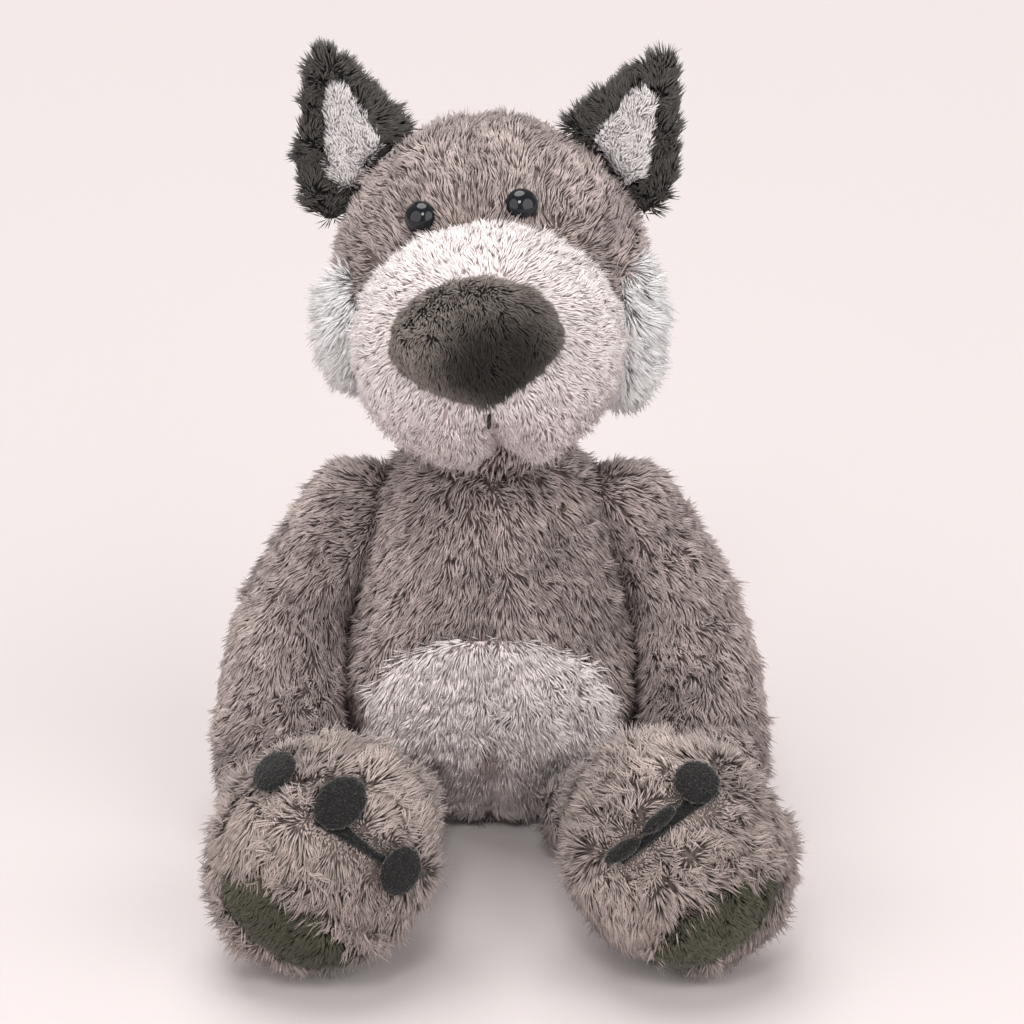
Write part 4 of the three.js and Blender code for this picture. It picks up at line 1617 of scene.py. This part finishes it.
@dataclass
class Foot:
    """A round furry foot with a plush sole pad and felt claws along its toe seam."""

    side: Side
    width: float = 82 * MM
    depth: float = 68 * MM
    length: float = 92 * MM
    toe_in: float = math.radians(38)
    tilt: float = math.radians(15)
    inset: float = 4 * MM
    voxel: float = 4.5 * MM
    clear: float = 1.5 * MM
    pad_length: float = 56 * MM
    pad_width: float = 25 * MM
    pad_across: float = 3 * MM
    pad_heelward: float = 24 * MM
    pad_lift: float = 0.2 * MM
    pad_thickness: float = 1.4 * MM
    rim: float = 1.6 * MM
    rim_width: float = 2.2 * MM
    toe_seam: float = 18 * MM
    toe_seam_depth: float = 2.2 * MM
    toe_seam_width: float = 3.5 * MM
    band_width: float = 4.4 * MM
    band_thickness: float = 2.4 * MM
    band_below: float = 1 * MM
    band_sink: float = 1.5 * MM
    pile: Pile = Pile(
            8.5 * MM, width=0.74 * MM, per_mm2=1.6, seed=71, swirl=1.0, clump=1.4, clump_size=7 * MM
        )
    pad_pile: Pile = Pile(4.5 * MM, width=0.6 * MM, per_mm2=2.6, seed=73)

    @property
    def turn(self) -> np.ndarray:
        """The foot's turn: its sole towards -Y and its toes towards +Z before it."""
        tilt = Matrix.Rotation(-self.tilt, 3, "X")
        return np.array(tilt @ Matrix.Rotation(-self.side.value * self.toe_in, 3, "Y"))

    @property
    def middle(self) -> np.ndarray:
        """The middle of the foot."""
        return centre_of(f"foot_shell_{self.side.word}")

    def own(self, points: np.ndarray) -> np.ndarray:
        """Points in the foot's own frame."""
        return (points - self.middle) @ self.turn

    def build(self, claws: Sequence[bpy.types.Object]) -> tuple[bpy.types.Object, bpy.types.Object]:
        """Makes the foot's form, its sole pad and the way that both are combed.

        Args:
            claws: The felt claws, which press the pile down.

        Returns:
            The foot's skin and its sole pad.
        """
        word = self.side.word
        size = Vector((self.width, self.depth, self.length)) - Vector((2 * self.inset,) * 3)
        form = ball_form(f"foot_skin_{word}", size, self.middle, self.turn)
        remesh(form, self.voxel, 2)
        own = self.own(points_of(form.data))
        held = groove(own[:, 2] - self.toe_seam, SEAM_HOLD, 1) * (own[:, 1] < 0)
        Stuffing(swell=2 * MM).puff(form, held * 0.95)
        subdivide(form)
        own = self.own(points_of(form.data))
        front = smooth_step(own[:, 1], 0, -15 * MM)
        seam = groove(own[:, 2] - self.toe_seam, self.toe_seam_width, self.toe_seam_depth) * front
        across = own[:, 0] + self.side.value * self.pad_across
        ring = oval(across, self.pad_length, own[:, 2] + self.pad_heelward, self.pad_width)
        rim = groove((ring - 1) * self.pad_width / 2, self.rim_width, self.rim) * front
        crease(form, seam + rim)
        keep_above(form, self.clear)
        keep = (ring < 0.98) & (own[:, 1] < 0)
        pad = panel_of(f"sole_plush_{word}", form, keep, self.pad_lift, self.pad_thickness)
        self.comb_skin(form, keep, claws)
        lean = self.turn @ np.array((0.2 * self.side.value, 0, -1.0))
        outward = normals_of(pad.data) @ self.turn[:, 1] < 0.1
        comb(pad, lean, self.pad_pile.length, np.where(outward, 1.0, 0.0))
        return form, pad

    def band(self) -> bpy.types.Object:
        """The strip of felt that shows in the toe seam between the claws."""
        word = self.side.word
        first = "middle" if self.side is Side.RIGHT else "outer"
        ends = [self.own(centre_of(f"claw_{place}_{word}"))[0] for place in (first, "inner")]
        half = np.array((self.width, self.depth, self.length)) / 2
        bm = bmesh.new()
        bmesh.ops.create_grid(bm, x_segments=30, y_segments=4, size=0.5)
        for vert in bm.verts:
            across = ends[0] + (ends[1] - ends[0]) * (vert.co.x * 1.2 + 0.5)
            before, after = 0.5 - vert.co.x, vert.co.x + 0.5
            wide = self.band_width * (0.55 + 1.6 * before**3 + 0.5 * after**4)
            up = self.toe_seam - self.band_below + vert.co.y * wide
            bulge = 1 - (across / half[0]) ** 2 - (up / half[2]) ** 2
            vert.co = (across, -half[1] * math.sqrt(max(bulge, 0.02)) + self.band_sink, up)
        bmesh.ops.transform(bm, matrix=Matrix(self.turn.tolist()).to_4x4(), verts=bm.verts)
        bmesh.ops.translate(bm, verts=bm.verts, vec=Vector(self.middle))
        return thicken(from_bmesh(f"toe_band_{word}", bm), self.band_thickness, 0)

    def comb_skin(
        self, form: bpy.types.Object, under: np.ndarray, claws: Sequence[bpy.types.Object]
    ) -> None:
        """Combs the foot's pile away from its toe seam, short where felt lies on it."""
        points = points_of(form.data)
        own = self.own(points)
        away = np.sign(own[:, 2] - self.toe_seam)
        lean_own = np.stack([own[:, 0] * 14, np.full(len(own), -0.1), away * 0.9], 1)
        lean = lean_own @ self.turn.T + DOWN * 0.3
        length = np.full(len(points), self.pile.length)
        for claw in claws:
            near = distances(points, tree_of(claw), 14 * MM)
            length *= 0.3 + 0.7 * smooth_step(np.abs(near), 3 * MM, 6.5 * MM)
        cover = np.where(under, 0.0, 1.0) * np.where(points[:, 2] < 2.5 * MM, 0.3, 1.0)
        cover *= 1 - 0.35 * smooth_step(own[:, 1], 0, 15 * MM)
        comb(form, lean, length, cover)

    def dress(self, form: bpy.types.Object, pad: bpy.types.Object) -> None:
        """Grows both coats and declares both pieces."""
        word = self.side.word
        declare(form, FOOT, f"foot_{word}", f"foot_shell_{word}", self.pile)
        declare(pad, OLIVE, f"foot_{word}", f"sole_pad_{word}", self.pad_pile)


@dataclass
class Claw:
    """One claw cut from felt."""

    place: str
    side: Side
    foot: np.ndarray
    sink: float = 2 * MM
    voxel: float = 0.9 * MM
    fuzz: float = 0.2 * MM
    swell: float = 0.9 * MM

    def build(self, band: bpy.types.Object | None = None) -> bpy.types.Object:
        """Makes the claw, with its edge a little rough.

        Args:
            band: A strip of the same felt, to be made one with it.

        Returns:
            The claw.
        """
        word = self.side.word
        claw = grown_form(f"felt_claw_{self.place}_{word}", f"claw_{self.place}_{word}", self.swell)
        if band is not None:
            bm = bmesh.new()
            bm.from_mesh(claw.data)
            bm.from_mesh(band.data)
            bm.to_mesh(claw.data)
            bm.free()
            discard(band)
        remesh(claw, self.voxel, 3)
        subdivide(claw)
        points = points_of(claw.data)
        points -= unit(points - self.foot) * self.sink
        rng = np.random.default_rng(len(points))
        rough = rng.normal(0, self.fuzz, len(points))
        set_points(claw.data, points + normals_of(claw.data) * rough[:, None])
        return claw

    def dress(self, obj: bpy.types.Object) -> None:
        word = self.side.word
        declare(obj, FELT, f"foot_{word}", f"claw_{self.place}_{word}")


# ------------------------------------------------------------------ what is inside


@dataclass
class Filling:
    """The fibre inside a skin, or the bag of pellets."""

    node: str
    body: str
    shrink: float = 6 * MM
    lumps: float = 0.8 * MM
    voxel: float = 3 * MM
    finish: FeltFinish = FIBRE

    def build(self) -> bpy.types.Object:
        """Makes a lumpy copy of the CAD filling, clear of the skin round it."""
        room = min(self.shrink, float(size_of(self.node).min()) * 0.2)
        obj = grown_form(f"{self.node}_fibre", self.node, -room)
        remesh(obj, self.voxel, 3)
        points = points_of(obj.data)
        waves = np.sin(points[:, 0] * 500) * np.sin(points[:, 1] * 430 + 1) * np.sin(points[:, 2] * 470)
        set_points(obj.data, points + normals_of(obj.data) * (waves * self.lumps)[:, None])
        return obj

    def dress(self, obj: bpy.types.Object) -> None:
        declare(obj, self.finish, self.body, self.node)


# ------------------------------------------------------------------ studio


@dataclass
class Studio:
    """A pale seamless floor, soft lights and the camera."""

    floor_size: float = 80.0
    warm: Colour = (1.0, 0.98, 0.97)
    distance: float = 1.15
    elevation: float = math.radians(22)
    aim: tuple[float, float, float] = (6.151 * MM, -20.4 * MM, 137.4 * MM)
    lens: float = 107.8

    def build(self) -> None:
        """Makes the floor, the lights and the camera."""
        bm = bmesh.new()
        bmesh.ops.create_grid(bm, x_segments=1, y_segments=1, size=self.floor_size / 2)
        floor = from_bmesh("floor", bm)
        floor.data.materials.append(PAPER.material())
        floor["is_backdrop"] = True
        self.sun("overhead", (-0.1, 0.2, 1.0), 45, 2.2)
        self.sun("front_right", (1.0, -0.85, 0.5), 65, 1.9)
        self.sun("front_left", (-1.0, -0.85, 0.5), 65, 1.3)
        self.soft_box("window", (-0.1, -1.0, 1.25), 0.35, 5.0)
        world = bpy.data.worlds.new("studio")
        world.use_nodes = True
        Tree(world.node_tree).give(
            world.node_tree.nodes["Background"], Color=(1.0, 0.95, 0.94, 1), Strength=0.38
        )
        bpy.context.scene.world = world
        bpy.context.scene.view_settings.view_transform = "Standard"
        self.camera()

    def hang(self, name: str, data: bpy.types.ID, back: Vector, place: Vector) -> bpy.types.Object:
        """Adds a light or a camera.

        Args:
            name: Its name.
            data: The light or the camera.
            back: The way that its back points.
            place: Where it hangs.

        Returns:
            The new object.
        """
        hung = bpy.data.objects.new(name, data)
        hung.location = place
        hung.rotation_euler = back.to_track_quat("Z", "Y").to_euler()
        bpy.context.scene.collection.objects.link(hung)
        return hung

    def soft_box(self, name: str, place: Sequence[float], size: float, power: float) -> None:
        """Adds one square soft box that faces the toy."""
        data = bpy.data.lights.new(name, "AREA")
        data.shape = "SQUARE"
        data.size = size
        data.energy = power
        data.color = self.warm
        self.hang(name, data, Vector(place) - Vector(self.aim), Vector(place))

    def sun(self, name: str, towards: Sequence[float], spread: float, strength: float) -> None:
        """Adds a broad soft light, even over the whole floor.

        Args:
            name: The light's name.
            towards: The way to the light.
            spread: How many degrees of the sky it fills.
            strength: Its strength.
        """
        data = bpy.data.lights.new(name, "SUN")
        data.angle = math.radians(spread)
        data.energy = strength
        data.color = self.warm
        self.hang(name, data, Vector(towards), Vector())

    def camera(self) -> None:
        """Adds the camera, turned straight at the toy."""
        data = bpy.data.cameras.new("camera")
        data.lens = self.lens
        data.sensor_width = 36
        back = Vector((0, -math.cos(self.elevation), math.sin(self.elevation)))
        place = Vector(self.aim) + back * self.distance
        bpy.context.scene.camera = self.hang("camera", data, back, place)


# ------------------------------------------------------------------ the whole toy


def joint_place(name: str) -> Sequence[float]:
    """A joint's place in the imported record, in metres."""
    return next(j["pos_m"] for j in frame["joints"] if j["name"] == name)


def body_of_node(node: str) -> str:
    """The CAD body that a node belongs to."""
    bodies = frame["record"]["behaviour"]["bodies"]
    return next(body for body, nodes in bodies.items() if node in nodes)


def main() -> None:
    """Builds every sub-assembly in order."""
    logging.basicConfig(level=logging.INFO, format="%(message)s")
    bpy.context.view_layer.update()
    Studio().build()

    torso = Torso()
    torso.dress(*torso.build())
    neck = Neck()
    neck.dress(neck.build())

    nose, muzzle, skull = Nose(), Muzzle(), Skull()
    nose_form = nose.build()
    muzzle_form = muzzle.build()
    muzzle_surface = tree_of(muzzle_form)
    skull_form = skull.build([muzzle_surface])
    muzzle.comb(muzzle_form, [tree_of(skull_form), tree_of(nose_form)])
    skull.dress(skull_form)
    muzzle.dress(muzzle_form)
    nose.dress(nose_form)
    stitch = MouthStitch()
    stitch.dress(stitch.build(muzzle_surface))

    for side in Side:
        word = side.word
        eye = Eye(side)
        eye.dress(eye.build())
        ear = Ear(side)
        ear.dress(*ear.build())
        cheek = Cheek(side)
        cheek.dress(cheek.build())
        arm = Limb("arm", word, snug=6.5 * MM)
        arm.dress(arm.build(joint_place(f"arm_raise_{word}")))
        leg = Limb("leg", word, root_overlap=4 * MM, end_overlap=6 * MM)
        leg.dress(leg.build(joint_place(f"leg_spread_{word}")))
        foot = Foot(side)
        claws = [Claw(place, side, foot.middle) for place in ("outer", "middle", "inner")]
        felts = [claw.build(foot.band() if claw.place == "middle" else None) for claw in claws]
        foot.dress(*foot.build(felts))
        for claw, felt in zip(claws, felts):
            claw.dress(felt)
    tail = Limb("tail", "", root_overlap=9 * MM)
    tail.dress(tail.build(joint_place("tail_swing")))

    for node in sorted(frame["nodes"]):
        if "_stuffing" in node and node != "neck_stuffing":
            room = HEAD_ROOM if node == "head_stuffing" else Filling.shrink
            filling = Filling(node, body_of_node(node), shrink=room)
            filling.dress(filling.build())
    bag = Filling("pellet_bag", "torso", finish=SACKING)
    bag.dress(bag.build())

    total = sum(len(o.data.polygons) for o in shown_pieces())
    LOG.info("%d faces in all", total)


if __name__ == "__main__":
    main()
